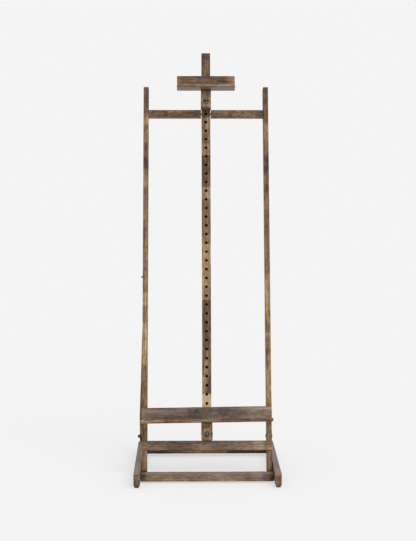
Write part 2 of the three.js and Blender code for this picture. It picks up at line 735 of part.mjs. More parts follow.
// Slot at the strut's lower end in which the locking bolt travels
function lockSlot(span) {
  const radius = BOLT_DIAMETER / 2 + LOCK_SLOT_PLAY;
  const profile = [
    ...arcPoints(0, -REACH_LONG, radius, Math.PI, 2 * Math.PI, SMALL_SIDES / 2),
    ...arcPoints(0, -REACH_SHORT, radius, 0, Math.PI, SMALL_SIDES / 2),
  ];
  return sidePlate(profile, span);
}

function strutPin(side) {
  const proud = side < 0 ? STRUT_PIN_PROUD : -SMALL_ARRIS;
  const span = sideSpan(side, POST_INNER + SMALL_ARRIS, POST_OUTER + proud);
  return rodX(STRUT_PIN_DIAMETER, span, STRUT_PIN_BACK, STRUT_PIN_HEIGHT);
}

// Sliding block with rebates for the legs of its strap and a bore for the pin's sleeve
function sliderBlock({ width, bottom, height, pinHeight }) {
  const half = width / 2;
  const body = bar([-half, half], [SLIDER_FRONT, SLIDER_BACK], [bottom, bottom + height]);
  const strap = strapSpan(bottom);
  const inner = half - STRAP_THICK - JOINT_GAP;
  const legs = [-1, 1].map((side) =>
    block(
      sideSpan(side, inner, half + CUT_EXTRA),
      [SLIDER_BACK - STRAP_REBATE - JOINT_GAP, SLIDER_BACK + CUT_EXTRA],
      [strap[0] - JOINT_GAP, strap[1] + JOINT_GAP],
    ),
  );
  const screws = [-1, 1].map((side) => strapScrewHole(side, width, bottom));
  return cut(
    body,
    ...legs,
    ...screws,
    rodY(FERRULE_SLEEVE_DIAMETER + JOINT_GAP, 0, [SLIDER_FRONT - CUT_EXTRA, sleeveEnd() + JOINT_GAP], pinHeight),
    rodY(PIN_DIAMETER + 2 * HOLE_PLAY, 0, [SLIDER_FRONT, SLIDER_BACK + CUT_EXTRA], pinHeight),
  );
}

function strapSpan(bottom) {
  return [bottom + STRAP_MARGIN, bottom + STRAP_MARGIN + STRAP_HEIGHT];
}

// Steel strap that goes round the mast and holds the block to it
function strap({ width, bottom }) {
  const span = strapSpan(bottom);
  const outer = width / 2;
  const inner = outer - STRAP_THICK;
  const front = SLIDER_BACK - STRAP_REBATE;
  const rear = MAST_BACK + SLIDE_GAP;
  const body = bar([-outer, outer], [front, rear + STRAP_THICK], span, SMALL_ARRIS);
  const hollow = block([-inner, inner], [front - CUT_EXTRA, rear], [span[0] - CUT_EXTRA, span[1] + CUT_EXTRA]);
  const screws = [-1, 1].map((side) => strapScrewHole(side, width, bottom));
  return cut(body, hollow, ...screws);
}

function strapScrewPlace(bottom) {
  const [low, high] = strapSpan(bottom);
  return { y: SLIDER_BACK - STRAP_REBATE / 2, z: (low + high) / 2 };
}

// Half the screw's hole, from outside the strap to the screw's tip
function strapScrewHole(side, width, bottom) {
  const { y, z } = strapScrewPlace(bottom);
  const outer = width / 2;
  const span = sideSpan(side, outer - STRAP_SCREW_LENGTH - HOLE_PLAY, outer + CUT_EXTRA);
  return rodX(SCREW_DIAMETER + HOLE_PLAY, span, y, z, SMALL_SIDES);
}

function strapScrew(side, { width, bottom }) {
  const { y, z } = strapScrewPlace(bottom);
  const x = side * (width / 2 + HOLE_PLAY / 2);
  return screw(STRAP_SCREW_LENGTH, STRAP_SCREW_HEAD).rotate([0, side * 90, 0]).translate([x, y, z]);
}

// Ledge that stands out to the front, with a rounded nose
function ledge(width, depth, [bottom, top]) {
  const half = width / 2;
  const front = SLIDER_BACK - depth;
  const nose = LEDGE_NOSE_RADIUS;
  const profile = [
    [SLIDER_BACK, bottom],
    [SLIDER_BACK, top],
    ...arcPoints(front + nose, top - nose, nose, Math.PI / 2, Math.PI, SMALL_SIDES / 4),
    ...arcPoints(front + nose, bottom + nose, nose, Math.PI, 1.5 * Math.PI, SMALL_SIDES / 4),
  ].reverse();
  const shape = new THREE.Shape();
  shape.moveTo(-half, SLIDER_BACK);
  shape.lineTo(-half, front + LEDGE_CORNER_RADIUS);
  shape.quadraticCurveTo(-half, front, LEDGE_CORNER_RADIUS - half, front);
  shape.lineTo(half - LEDGE_CORNER_RADIUS, front);
  shape.quadraticCurveTo(half, front, half, front + LEDGE_CORNER_RADIUS);
  shape.lineTo(half, SLIDER_BACK);
  const plan = solid(extruded(shape, top - bottom, ARRIS).translate(0, 0, bottom));
  return plan.intersect(sidePlate(profile, [-half, half]));
}

// Upright board behind the ledge
function upright(width, thick, [bottom, top]) {
  const half = width / 2;
  return bar([-half, half], [SLIDER_BACK - thick, SLIDER_BACK], [bottom, top], ARRIS);
}

// Ferrule that guides the locking pin
function sleeveEnd() {
  return SLIDER_FRONT + FERRULE_SLEEVE_LENGTH;
}

function ferrule(pinHeight) {
  const face = SLIDER_FRONT - HOLE_PLAY;
  const flange = rodY(FERRULE_DIAMETER, 0, [face - FERRULE_THICK, face], pinHeight);
  const sleeve = rodY(FERRULE_SLEEVE_DIAMETER, 0, [face - SMALL_ARRIS, sleeveEnd()], pinHeight);
  const bore = rodY(PIN_DIAMETER + 2 * HOLE_PLAY, 0, [face - FERRULE_THICK - CUT_EXTRA, sleeveEnd() + CUT_EXTRA], pinHeight);
  return cut(join(flange, sleeve), bore);
}

// Locking pin drawn out, its tip clear of the mast
function pinEyeY() {
  const collarBack = SLIDER_FRONT - HOLE_PLAY - FERRULE_THICK - HOLE_PLAY - PIN_TRAVEL;
  return collarBack - PIN_COLLAR_THICK - PIN_NECK - PIN_EYE_RADIUS;
}

function lockingPin(pinHeight) {
  const eyeY = pinEyeY();
  const collarFront = eyeY + PIN_EYE_RADIUS + PIN_NECK;
  const shank = rodY(PIN_DIAMETER, 0, [collarFront, SLIDER_BACK], pinHeight);
  const collar = rodY(PIN_COLLAR_DIAMETER, 0, [collarFront, collarFront + PIN_COLLAR_THICK], pinHeight);
  const eye = rodX(PIN_EYE_RADIUS * 2, [-PIN_EYE_THICK / 2, PIN_EYE_THICK / 2], eyeY, pinHeight);
  const hole = rodX(PIN_EYE_HOLE, [-PIN_EYE_THICK, PIN_EYE_THICK], eyeY, pinHeight);
  const neck = rodY(PIN_NECK_DIAMETER, 0, [eyeY + PIN_EYE_HOLE / 2 + PIN_COLLAR_THICK / 2, collarFront], pinHeight);
  return cut(join(shank, collar, neck, eye), hole);
}

// Pull ring that hangs plumb in the pin's eye
function pullRing({ pinHeight, ringRadius }) {
  const drop = ringRadius - PIN_EYE_HOLE / 2 + RING_WIRE + HOLE_PLAY;
  const ring = new THREE.TorusGeometry(ringRadius, RING_WIRE, RING_WIRE_SIDES, RING_SEGMENTS);
  ring.rotateX(Math.PI / 2).translate(0, 0, -drop).rotateX(LEAN);
  return solid(ring.translate(0, pinEyeY(), pinHeight));
}

// Places finished bodies in the object
const easel = new THREE.Group();
easel.name = "easel";
const base = new THREE.Group();
const frame = new THREE.Group();
frame.position.set(0, PIVOT_Y, PIVOT_Z);
frame.rotation.x = -LEAN;
const struts = new THREE.Group();
struts.position.set(0, PIN_NOW.y, PIN_NOW.z);
struts.rotation.x = STRUT_ANGLE;
easel.add(base, frame, struts);
for (const group of easel.children) {
  group.position.x += (lockStack().nutNear + LOCK_BOLT_REACH - RUNNER_OUTER) / 2;
  group.position.y -= OBJECT_DEPTH / 2;
}

function addBase() {
  base.add(meshOf("front_stretcher", stretcher(frontStretcherPlace()), wood(BOARD_WOOD)));
  base.add(meshOf("rear_stretcher", stretcher(rearStretcherPlace()), wood(BOARD_WOOD)));
  base.add(meshOf("left_wing_nut", wingNut(), paintedIron()));
  base.add(meshOf("right_lock_nut", hexNut(1, lockStack().innerNutNear, LOCK_NUT_HEIGHT, LOCK_Y, LOCK_Z), paintedIron()));
  for (const [side, label] of [[-1, "left"], [1, "right"]]) {
    addBaseSide(side, label);
  }
}

function addBaseSide(side, label) {
  const stack = lockStack();
  const spacer = washer(side, stack.spacerNear, stack.spacerFar, LOCK_Y, LOCK_Z);
  const lockWasher = washer(side, stack.washerNear, stack.washerFar, LOCK_Y, LOCK_Z);
  const pivotNear = POST_OUTER + HOLE_PLAY / 2;
  const pivotWasher = washer(side, pivotNear, pivotNear + PIVOT_WASHER_THICK, PIVOT_Y, PIVOT_Z);
  base.add(meshOf(`${label}_runner`, runner(side), wood(FRAME_WOOD)));
  base.add(meshOf(`${label}_lock_plate`, lockPlate(side), paintedIron()));
  base.add(meshOf(`${label}_lock_bolt`, lockBolt(side), greySteel()));
  base.add(meshOf(`${label}_lock_spacer`, spacer, greySteel()));
  base.add(meshOf(`${label}_lock_washer`, lockWasher, greySteel()));
  base.add(meshOf(`${label}_pivot_bolt`, pivotBolt(side), greySteel()));
  base.add(meshOf(`${label}_pivot_nut`, pivotNut(side), greySteel()));
  base.add(meshOf(`${label}_pivot_washer`, pivotWasher, greySteel()));
  plateScrewPlaces().forEach(({ y, z }, i) => {
    const x = side * (PLATE_INNER - HOLE_PLAY / 2);
    const body = screw(PLATE_SCREW_LENGTH).rotate([0, -side * 90, 0]).translate([x, y, z]);
    base.add(meshOf(`${label}_plate_screw_${i + 1}`, body, greySteel()));
  });
}

function addFrame() {
  const footScrew = frameScrew(0, LOWER_RAIL_MIDDLE, MAST_BACK, FOOT_SCREW_LENGTH);
  frame.add(meshOf("mast", mast(), wood(MAST_WOOD)));
  frame.add(meshOf("lower_rail", lowerRail(), wood(BOARD_WOOD)));
  for (const [side, label] of [[-1, "left"], [1, "right"]]) {
    frame.add(meshOf(`${label}_post`, post(side), wood(FRAME_WOOD)));
    frame.add(meshOf(`${label}_top_rail`, topRail(side), wood(FRAME_WOOD)));
    frame.add(meshOf(`${label}_dowel`, dowel(side, 0), wood(MAST_WOOD)));
    frame.add(meshOf(`${label}_strut_pin`, strutPin(side), greySteel()));
    const lapScrew = frameScrew(side * POST_CENTRE, LOWER_RAIL_MIDDLE, POST_BACK, FRAME_SCREW_LENGTH);
    frame.add(meshOf(`${label}_lap_screw`, lapScrew, greySteel()));
    struts.add(meshOf(`${label}_strut`, strut(side), wood(FRAME_WOOD)));
  }
  frame.add(meshOf("mast_foot_screw", footScrew, greySteel()));
}

// Block, strap and screws into the given group; ferrule, pin and ring, which stay plumb, into the frame
function addSlider(label, slider, group) {
  group.add(meshOf(`${label}_slider`, sliderBlock(slider), wood(MAST_WOOD)));
  group.add(meshOf(`${label}_strap`, strap(slider), paintedIron()));
  group.add(meshOf(`${label}_strap_screw_left`, strapScrew(-1, slider), greySteel()));
  group.add(meshOf(`${label}_strap_screw_right`, strapScrew(1, slider), greySteel()));
  frame.add(meshOf(`${label}_ferrule`, ferrule(slider.pinHeight), paintedIron()));
  frame.add(meshOf(`${label}_pin`, lockingPin(slider.pinHeight), paintedIron()));
  frame.add(meshOf(`${label}_ring`, pullRing(slider), paintedIron()));
}

function addClamp() {
  const bottom = CLAMP_BLOCK_BOTTOM;
  const slider = {
    width: CLAMP_BLOCK_WIDTH,
    bottom,
    height: CLAMP_BLOCK_HEIGHT,
    pinHeight: CLAMP_ROW_START,
    ringRadius: CLAMP_RING_RADIUS,
  };
  const ledgeBottom = bottom + CLAMP_BLOCK_HEIGHT + JOINT_GAP;
  const ledgeSpan = [ledgeBottom, ledgeBottom + CLAMP_LEDGE_THICK];
  const boardBottom = ledgeSpan[1] + JOINT_GAP;
  const board = upright(CLAMP_WIDTH, CLAMP_BOARD_THICK, [boardBottom, boardBottom + CLAMP_BOARD_HEIGHT]);
  addSlider("clamp", slider, frame);
  frame.add(meshOf("clamp_ledge", ledge(CLAMP_WIDTH, CLAMP_LEDGE_DEPTH, ledgeSpan), wood(BOARD_WOOD)));
  frame.add(meshOf("clamp_board", board, wood(BOARD_WOOD)));
}

// The tray hangs a little out of level, turned about its locking pin
function tiltedGroup() {
  const turn = new THREE.Group();
  const inner = new THREE.Group();
  turn.position.z = TRAY_PIN_HEIGHT;
  turn.rotation.y = -TRAY_TILT;
  inner.position.z = -TRAY_PIN_HEIGHT;
  turn.add(inner);
  frame.add(turn);
  return inner;
}

function addTray() {
  const group = tiltedGroup();
  const bottom = TRAY_BLOCK_BOTTOM;
  const slider = {
    width: TRAY_BLOCK_WIDTH,
    bottom,
    height: TRAY_BLOCK_HEIGHT,
    pinHeight: TRAY_PIN_HEIGHT,
    ringRadius: TRAY_RING_RADIUS,
  };
  const ledgeBottom = bottom + TRAY_BLOCK_HEIGHT + JOINT_GAP;
  const ledgeSpan = [ledgeBottom, ledgeBottom + TRAY_LEDGE_THICK];
  const boardBottom = ledgeSpan[1] + JOINT_GAP;
  const board = upright(TRAY_BOARD_WIDTH, TRAY_BOARD_THICK, [boardBottom, boardBottom + TRAY_BOARD_HEIGHT]);
  addSlider("tray", slider, group);
  group.add(meshOf("tray_ledge", ledge(TRAY_LEDGE_WIDTH, TRAY_LEDGE_DEPTH, ledgeSpan), wood(BOARD_WOOD)));
  group.add(meshOf("tray_board", board, wood(BOARD_WOOD)));
}

addBase();
addFrame();
addClamp();
addTray();

export default easel;
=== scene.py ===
import json
import math

import bpy
import numpy as np
from mathutils import Matrix, Vector


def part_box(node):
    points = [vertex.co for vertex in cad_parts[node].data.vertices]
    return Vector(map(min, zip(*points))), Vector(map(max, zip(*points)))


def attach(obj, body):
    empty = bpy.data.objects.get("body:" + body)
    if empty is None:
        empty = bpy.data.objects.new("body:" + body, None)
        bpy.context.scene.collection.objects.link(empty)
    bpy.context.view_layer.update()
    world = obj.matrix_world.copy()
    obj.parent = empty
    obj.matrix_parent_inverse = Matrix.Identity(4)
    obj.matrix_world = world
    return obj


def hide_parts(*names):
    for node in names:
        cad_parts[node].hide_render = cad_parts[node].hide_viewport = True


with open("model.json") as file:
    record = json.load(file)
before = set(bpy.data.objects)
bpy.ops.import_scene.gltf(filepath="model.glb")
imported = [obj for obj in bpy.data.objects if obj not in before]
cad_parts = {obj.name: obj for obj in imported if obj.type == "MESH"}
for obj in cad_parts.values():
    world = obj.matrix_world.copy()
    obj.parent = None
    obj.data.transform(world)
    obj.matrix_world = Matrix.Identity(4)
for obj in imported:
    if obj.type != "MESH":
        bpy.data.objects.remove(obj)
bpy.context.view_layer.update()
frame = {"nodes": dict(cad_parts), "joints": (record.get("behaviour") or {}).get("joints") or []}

print("frame loaded:", len(frame["nodes"]), "nodes")

scene = bpy.context.scene
scene.view_settings.view_transform = "Standard"
nodes = frame["nodes"]
joints = {joint["name"]: joint for joint in frame["joints"]}
tiltPoint = np.array(joints["frame_tilt"]["pos_m"])
upMast = np.array(joints["tray_slide"]["axis"])
intoMast = np.array(joints["tray_pin_slide"]["axis"])
upright = np.eye(3)
leaning = np.array([upright[0], intoMast, upMast])  # rows are the leaning frame's own axes
trayTilt = math.radians(0.8)
hanging = np.array([upright[0] * math.cos(trayTilt) + upMast * math.sin(trayTilt), intoMast,
                    upMast * math.cos(trayTilt) - upright[0] * math.sin(trayTilt)])  # the tray's axes


# the camera stands where the photograph was taken from
view = dict(place=(-0.07356, -5.10039, 1.44799), turn=-0.921, pitch=-6.701, roll=0.053,
            focal=1213.44, imageWidth=416, sensor=36)
studio = dict(world=0.62, sunPower=1.30, sunSpread=48, sunFrom=(0.55, -0.75, 1.25), fillPower=0.16,
              fillFrom=(-0.9, -0.8, 0.35), fillSpread=60)
# paper is the sheet's brightness for the camera, albedo the one that the lamps meet
floorLook = dict(size=60, paper=0.905, albedo=0.937, rough=0.9, shadow=0.36, near=1.3, far=4.0)


def aim(direction):
    # turn that points a lamp's or a camera's -Z along the direction
    return Vector(direction).to_track_quat("-Z", "Y").to_euler()


def makeCamera():
    camera = bpy.data.objects.new("camera", bpy.data.cameras.new("camera"))
    scene.collection.objects.link(camera)
    camera.data.sensor_fit = "HORIZONTAL"
    camera.data.sensor_width = view["sensor"]
    camera.data.lens = view["focal"] * view["sensor"] / view["imageWidth"]
    level = Matrix.Rotation(math.radians(view["turn"]), 4, "Z")
    level = level @ Matrix.Rotation(math.radians(90 + view["pitch"]), 4, "X")
    level = level @ Matrix.Rotation(math.radians(view["roll"]), 4, "Z")
    camera.matrix_world = Matrix.Translation(view["place"]) @ level
    scene.camera = camera


def makeSun(name, power, spread, comesFrom):
    lamp = bpy.data.lights.new(name, "SUN")
    lamp.energy = power
    lamp.angle = math.radians(spread)
    holder = bpy.data.objects.new(name, lamp)
    holder.rotation_euler = aim(-Vector(comesFrom))
    scene.collection.objects.link(holder)


def makeWorld():
    # even grey room light; the camera and mirror-like surfaces see plain paper
    world = bpy.data.worlds.new("room")
    scene.world = world
    world.use_nodes = True
    tree = world.node_tree
    back = tree.nodes["Background"]
    back.inputs["Color"].default_value = (1, 1, 1, 1)
    path = addNode(tree, "LightPath")
    seen = calc(tree, "MAXIMUM", path.outputs["Is Camera Ray"], path.outputs["Is Glossy Ray"])
    seen = calc(tree, "MAXIMUM", seen, path.outputs["Is Transmission Ray"])
    strength = addNode(tree, "MapRange")
    put(tree, strength.inputs["Value"], seen)
    strength.inputs["To Min"].default_value = studio["world"]
    strength.inputs["To Max"].default_value = floorLook["paper"]
    tree.links.new(strength.outputs["Result"], back.inputs["Strength"])


def makeFloor():
    # one large sheet of paper; it keeps part of the shadow near the easel and none far away
    half = floorLook["size"] / 2
    mesh = bpy.data.meshes.new("floor")
    corners = [(-half, -half, 0), (half, -half, 0), (half, half, 0), (-half, half, 0)]
    mesh.from_pydata(corners, [], [(0, 1, 2, 3)])
    floor = bpy.data.objects.new("floor", mesh)
    scene.collection.objects.link(floor)
    material, tree, surface = newMaterial("paper")
    surface.inputs["Base Color"].default_value = (floorLook["albedo"],) * 3 + (1,)
    surface.inputs["Roughness"].default_value = floorLook["rough"]
    surface.inputs["Specular IOR Level"].default_value = 0
    path = addNode(tree, "LightPath")
    glow = addNode(tree, "Emission")
    glow.inputs["Color"].default_value = (floorLook["paper"],) * 3 + (1,)
    mix = addNode(tree, "MixShader")
    away = vec(tree, "LENGTH", addNode(tree, "TexCoord").outputs["Object"], out="Value")
    plain = step(tree, away, floorLook["near"], floorLook["far"], 1 - floorLook["shadow"], 1.0)
    put(tree, mix.inputs[0], calc(tree, "MULTIPLY", path.outputs["Is Camera Ray"], plain))
    tree.links.new(surface.outputs[0], mix.inputs[1])
    tree.links.new(glow.outputs[0], mix.inputs[2])
    tree.links.new(mix.outputs[0], tree.nodes["Material Output"].inputs["Surface"])
    mesh.materials.append(material)


def addNode(tree, kind):
    return tree.nodes.new("ShaderNode" + kind)


def put(tree, socket, value):
    # links a socket, or writes a plain value into it
    if isinstance(value, bpy.types.NodeSocket):
        tree.links.new(value, socket)
    elif value is not None:
        socket.default_value = value


def calc(tree, operation, *values):
    node = addNode(tree, "Math")
    node.operation = operation
    for socket, value in zip(node.inputs, values):
        put(tree, socket, value)
    return node.outputs[0]


def vec(tree, operation, *values, out="Vector"):
    node = addNode(tree, "VectorMath")
    node.operation = operation
    for socket, value in zip(node.inputs, values):
        put(tree, socket, value)
    return node.outputs[out]


def apart(tree, vector):
    node = addNode(tree, "SeparateXYZ")
    put(tree, node.inputs[0], vector)
    return node.outputs


def cloud(tree, vector, scale, detail=3.0, rough=0.5, warp=0.0, out="Fac"):
    node = addNode(tree, "TexNoise")
    settings = dict(Vector=vector, Scale=scale, Detail=detail, Roughness=rough, Distortion=warp)
    for label, setting in settings.items():
        put(tree, node.inputs[label], setting)
    return node.outputs[out]


def step(tree, value, low, high, toLow=0.0, toHigh=1.0):
    # smooth rise between two values
    node = addNode(tree, "MapRange")
    node.interpolation_type = "SMOOTHSTEP"
    settings = {"Value": value, "From Min": low, "From Max": high, "To Min": toLow, "To Max": toHigh}
    for label, setting in settings.items():
        put(tree, node.inputs[label], setting)
    return node.outputs["Result"]


def tint(tree, share, first, second):
    # the first colour going over to the second
    node = addNode(tree, "Mix")
    node.data_type = "RGBA"
    node.clamp_factor = True
    put(tree, node.inputs[0], share)
    for socket, value in ((node.inputs[6], first), (node.inputs[7], second)):
        if isinstance(value, tuple):
            value = tuple(value) + (1,)
        put(tree, socket, value)
    return node.outputs[2]


def newGroup(name, inputs, outputs):
    group = bpy.data.node_groups.new(name, "ShaderNodeTree")
    for label, kind, value in inputs:
        socket = group.interface.new_socket(name=label, in_out="INPUT", socket_type="NodeSocket" + kind)
        socket.default_value = value
    for label, kind in outputs:
        group.interface.new_socket(name=label, in_out="OUTPUT", socket_type="NodeSocket" + kind)
    return group, group.nodes.new("NodeGroupInput").outputs, group.nodes.new("NodeGroupOutput").inputs


def useGroup(tree, group, **values):
    # places a group; its inputs are named in camelCase here and in plain words on the group
    node = addNode(tree, "Group")
    node.node_tree = group
    for socket in node.inputs:
        words = socket.name.split()
        key = words[0].lower() + "".join(word.capitalize() for word in words[1:])
        if key in values:
            put(tree, socket, values[key])
    return node.outputs


def newMaterial(name):
    material = bpy.data.materials.new(name)
    material.use_nodes = True
    tree = material.node_tree
    return material, tree, tree.nodes["Principled BSDF"]


vectorInput = ("Vector", "Vector", (0, 0, 0))
seedInput = ("Seed", "Float", 0)


def seeded(group, given, direction):
    # the group's vector, moved by the seed along a direction
    shift = vec(group, "SCALE", direction)
    put(group, shift.node.inputs["Scale"], given["Seed"])
    return vec(group, "ADD", given["Vector"], shift)


def roughen(tree, surface, height, strength, distance):
    # small relief on a surface
    bump = addNode(tree, "Bump")
    bump.inputs["Strength"].default_value = strength
    bump.inputs["Distance"].default_value = distance
    put(tree, bump.inputs["Height"], height)
    put(tree, surface.inputs["Normal"], bump.outputs["Normal"])


def makeEdgeGroup():
    # distance along the surface to the nearest arris of a box-shaped piece, and depth under its faces
    group, given, result = newGroup(
        "arrisDistance",
        [vectorInput, ("Half Size", "Vector", (1, 1, 1))],
        [("Distance", "Float"), ("Depth", "Float")])
    inner = vec(group, "SUBTRACT", given["Half Size"], vec(group, "ABSOLUTE", given["Vector"]))
    x, y, z = apart(group, vec(group, "MAXIMUM", inner, (0, 0, 0)))
    total = calc(group, "ADD", calc(group, "ADD", x, y), z)
    largest = calc(group, "MAXIMUM", calc(group, "MAXIMUM", x, y), z)
    put(group, result["Distance"], calc(group, "SUBTRACT", total, largest))
    put(group, result["Depth"], calc(group, "MINIMUM", calc(group, "MINIMUM", x, y), z))
    return group


# noises of the grain, finer across it than along it, each with the two values between which its mask rises
grainLayers = dict(
    Streaks=dict(scale=(150, 150, 5), detail=4, rough=0.6, warp=0, low=0.3, high=0.7),
    Fibre=dict(scale=(900, 900, 28), detail=4, rough=0.65, warp=0, low=0.28, high=0.72),
    Pores=dict(scale=(1700, 1700, 90), detail=2, rough=0.5, warp=0, low=0.62, high=0.72),
    Mottle=dict(scale=(95, 95, 42), detail=5, rough=0.6, warp=0.5, low=0.28, high=0.72),
    Weather=dict(scale=(17, 17, 4), detail=3, rough=0.55, warp=0.5, low=0.3, high=0.7),
)


def makeGrainGroup():
    # timber with its grain along Z: rings round an offset pith, streaks, fibres and pores
    group, given, result = newGroup(
        "timberGrain",
        [vectorInput, seedInput, ("Pith", "Vector", (0.05, 0.08, 0)),
         ("Ring Gap", "Float", 0.004), ("Sway", "Float", 0.012)],
        [(label, "Float") for label in ("Rings", "Streaks", "Fibre", "Pores", "Mottle", "Weather", "Fade")])
    own = seeded(group, given, (3.1, 5.7, 2.3))
    slow = cloud(group, vec(group, "MULTIPLY", own, (6, 6, 1.6)), 1.0, 2, out="Color")
    drift = vec(group, "SUBTRACT", slow, (0.5, 0.5, 0.5))
    swayed = vec(group, "SCALE", drift)
    put(group, swayed.node.inputs["Scale"], calc(group, "MULTIPLY", given["Sway"], 4))
    section = vec(group, "MULTIPLY", vec(group, "ADD", given["Vector"], swayed), (1, 1, 0))
    radius = vec(group, "DISTANCE", section, given["Pith"], out="Value")
    ripple = cloud(group, vec(group, "MULTIPLY", own, (160, 160, 8)), 1.0, 2)
    turns = calc(group, "DIVIDE", radius, given["Ring Gap"])
    turns = calc(group, "ADD", turns, calc(group, "MULTIPLY", ripple, 0.7))
    age = calc(group, "FRACT", turns)
    rising = step(group, age, 0.25, 0.86)
    falling = step(group, age, 0.9, 1.0, 1.0, 0.0)
    put(group, result["Rings"], calc(group, "MULTIPLY", rising, falling))
    for layer, look in grainLayers.items():
        noise = cloud(group, vec(group, "MULTIPLY", own, look["scale"]), 1.0, look["detail"], look["rough"],
                      look["warp"])
        put(group, result[layer], step(group, noise, look["low"], look["high"]))
    elsewhere = vec(group, "ADD", own, (7, 3, 5))
    fade = cloud(group, vec(group, "MULTIPLY", elsewhere, (40, 40, 13)), 1.0, 4, 0.6)
    put(group, result["Fade"], calc(group, "SUBTRACT", step(group, fade, 0.3, 0.7), 0.5))
    return group


# shade of the stained wood, from nearly black to bare, and its colour
stainTones = ((0.0, (0.040, 0.024, 0.016)), (0.2, (0.120, 0.063, 0.035)), (0.4, (0.228, 0.135, 0.068)),
              (0.6, (0.365, 0.235, 0.121)), (0.82, (0.560, 0.402, 0.245)), (1.0, (0.680, 0.550, 0.385)))


def makeStainGroup():
    # the colour of a shade; grey takes some of the colour out, and below nothing it adds some
    group, given, result = newGroup("stainColour", [("Shade", "Float", 0.4), ("Grey", "Float", 0)],
                                    [("Color", "Color")])
    ramp = addNode(group, "ValToRGB")
    stops = ramp.color_ramp.elements
    for at, tone in stainTones[1:-1]:
        stops.new(at)
    for stop, (at, tone) in zip(stops, stainTones):
        stop.position = at
        stop.color = tone + (1,)
    put(group, ramp.inputs[0], given["Shade"])
    fade = addNode(group, "HueSaturation")
    put(group, fade.inputs["Saturation"], calc(group, "SUBTRACT", 1.0, given["Grey"]))
    put(group, fade.inputs["Color"], ramp.outputs[0])
    put(group, result["Color"], fade.outputs[0])
    return group


def makeWearGroup():
    # rubbed edges and rubbed places: a mask from the distance to the arris and a broken-up noise
    group, given, result = newGroup(
        "rubbedEdges",
        [vectorInput, seedInput, ("Distance", "Float", 1),
         ("Reach", "Float", 0.004), ("Amount", "Float", 0.5), ("Stretch", "Float", 0.2)],
        [("Edge", "Float"), ("Rubbed", "Float")])
    long = addNode(group, "CombineXYZ")
    put(group, long.inputs[0], 1.0)
    put(group, long.inputs[1], 1.0)
    put(group, long.inputs[2], given["Stretch"])
    own = vec(group, "MULTIPLY", seeded(group, given, (4.3, 1.9, 7.1)), long.outputs[0])
    coarse = cloud(group, own, 60, 4, 0.6)
    fine = cloud(group, own, 420, 3, 0.6)
    chance = calc(group, "ADD", calc(group, "MULTIPLY", coarse, 0.72), calc(group, "MULTIPLY", fine, 0.28))
    near = step(group, calc(group, "DIVIDE", given["Distance"], given["Reach"]), 0.0, 1.0, 1.0, 0.0)
    lift = calc(group, "MULTIPLY", near, calc(group, "MULTIPLY", given["Amount"], 0.55))
    edge = step(group, calc(group, "ADD", chance, lift), 0.6, 0.74)
    put(group, result["Edge"], calc(group, "MULTIPLY", edge, near))
    wide = cloud(group, own, 17, 5, 0.62, 0.4)
    bar = calc(group, "SUBTRACT", 0.86, calc(group, "MULTIPLY", given["Amount"], 0.42))
    low, high = calc(group, "SUBTRACT", bar, 0.13), calc(group, "ADD", bar, 0.05)
    put(group, result["Rubbed"], step(group, wide, low, high))
    return group


def makePatchGroup():
    # one stained or bare place with wavering borders, given by its centre and half size
    group, given, result = newGroup(
        "stainPatch",
        [vectorInput, ("Centre", "Vector", (0, 0, 0)), ("Half Size", "Vector", (1, 1, 1)),
         ("Soft", "Float", 0.01), ("Waver", "Float", 0.01)],
        [("Mask", "Float")])
    away = vec(group, "SUBTRACT", given["Vector"], given["Centre"])
    x, y, z = apart(group, vec(group, "SUBTRACT", vec(group, "ABSOLUTE", away), given["Half Size"]))
    outside = calc(group, "MAXIMUM", calc(group, "MAXIMUM", x, y), z)
    ragged = calc(group, "SUBTRACT", cloud(group, given["Vector"], 70, 4, 0.6), 0.5)
    ragged = calc(group, "MULTIPLY", ragged, calc(group, "MULTIPLY", given["Waver"], 4))
    outside = calc(group, "ADD", outside, ragged)
    share = calc(group, "DIVIDE", outside, given["Soft"])
    put(group, result["Mask"], step(group, share, -1.0, 1.0, 1.0, 0.0))
    return group


def makeMetalGroup():
    # handled metal: scratches, dull blotches and rust specks
    group, given, result = newGroup(
        "handledMetal",
        [vectorInput, seedInput, ("Rust Amount", "Float", 0.3)],
        [("Dull", "Float"), ("Rust", "Float"), ("Scratches", "Float"), ("Pits", "Float")])
    own = seeded(group, given, (2.9, 6.1, 3.7))
    put(group, result["Dull"], step(group, cloud(group, own, 160, 4, 0.6), 0.35, 0.68))
    more = calc(group, "MULTIPLY", given["Rust Amount"], 0.3)
    rust = calc(group, "ADD", cloud(group, own, 420, 5, 0.7), more)
    put(group, result["Rust"], step(group, rust, 0.62, 0.74))
    lines = cloud(group, vec(group, "MULTIPLY", own, (900, 4000, 900)), 1.0, 2, 0.5)
    put(group, result["Scratches"], step(group, lines, 0.6, 0.75))
    put(group, result["Pits"], cloud(group, own, 1500, 3, 0.6))
    return group


arrisDistance = makeEdgeGroup()
timberGrain = makeGrainGroup()
stainColour = makeStainGroup()
rubbedEdges = makeWearGroup()
stainPatch = makePatchGroup()
handledMetal = makeMetalGroup()
print("shader groups made")


def strutAxes(side):
    # rows: across, square to the strut, and up along it from the locking bolt to its pin
    pin = np.array(joints[side + "_strut_swing"]["pos_m"])
    low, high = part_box(side + "_lock_bolt")
    along = pin - np.array((low + high) / 2)
    along[0] = 0
    along /= np.linalg.norm(along)
    return np.array([upright[0], np.cross(along, upright[0]), along])


def ownAxes(axes, grain):
    # the same axes in another order, so that the grain runs along the third
    x, y, z = axes
    return np.array({"x": (y, z, x), "y": (-x, z, y), "z": (y, -x, z)}[grain])


def seat(name, axes):
    # low and high corners of a node in the given axes, from the row's origin
    mesh = nodes[name].data
    points = np.empty(len(mesh.vertices) * 3)
    mesh.vertices.foreach_get("co", points)
    points = points.reshape(-1, 3) @ axes.T
    return points.min(0), points.max(0)


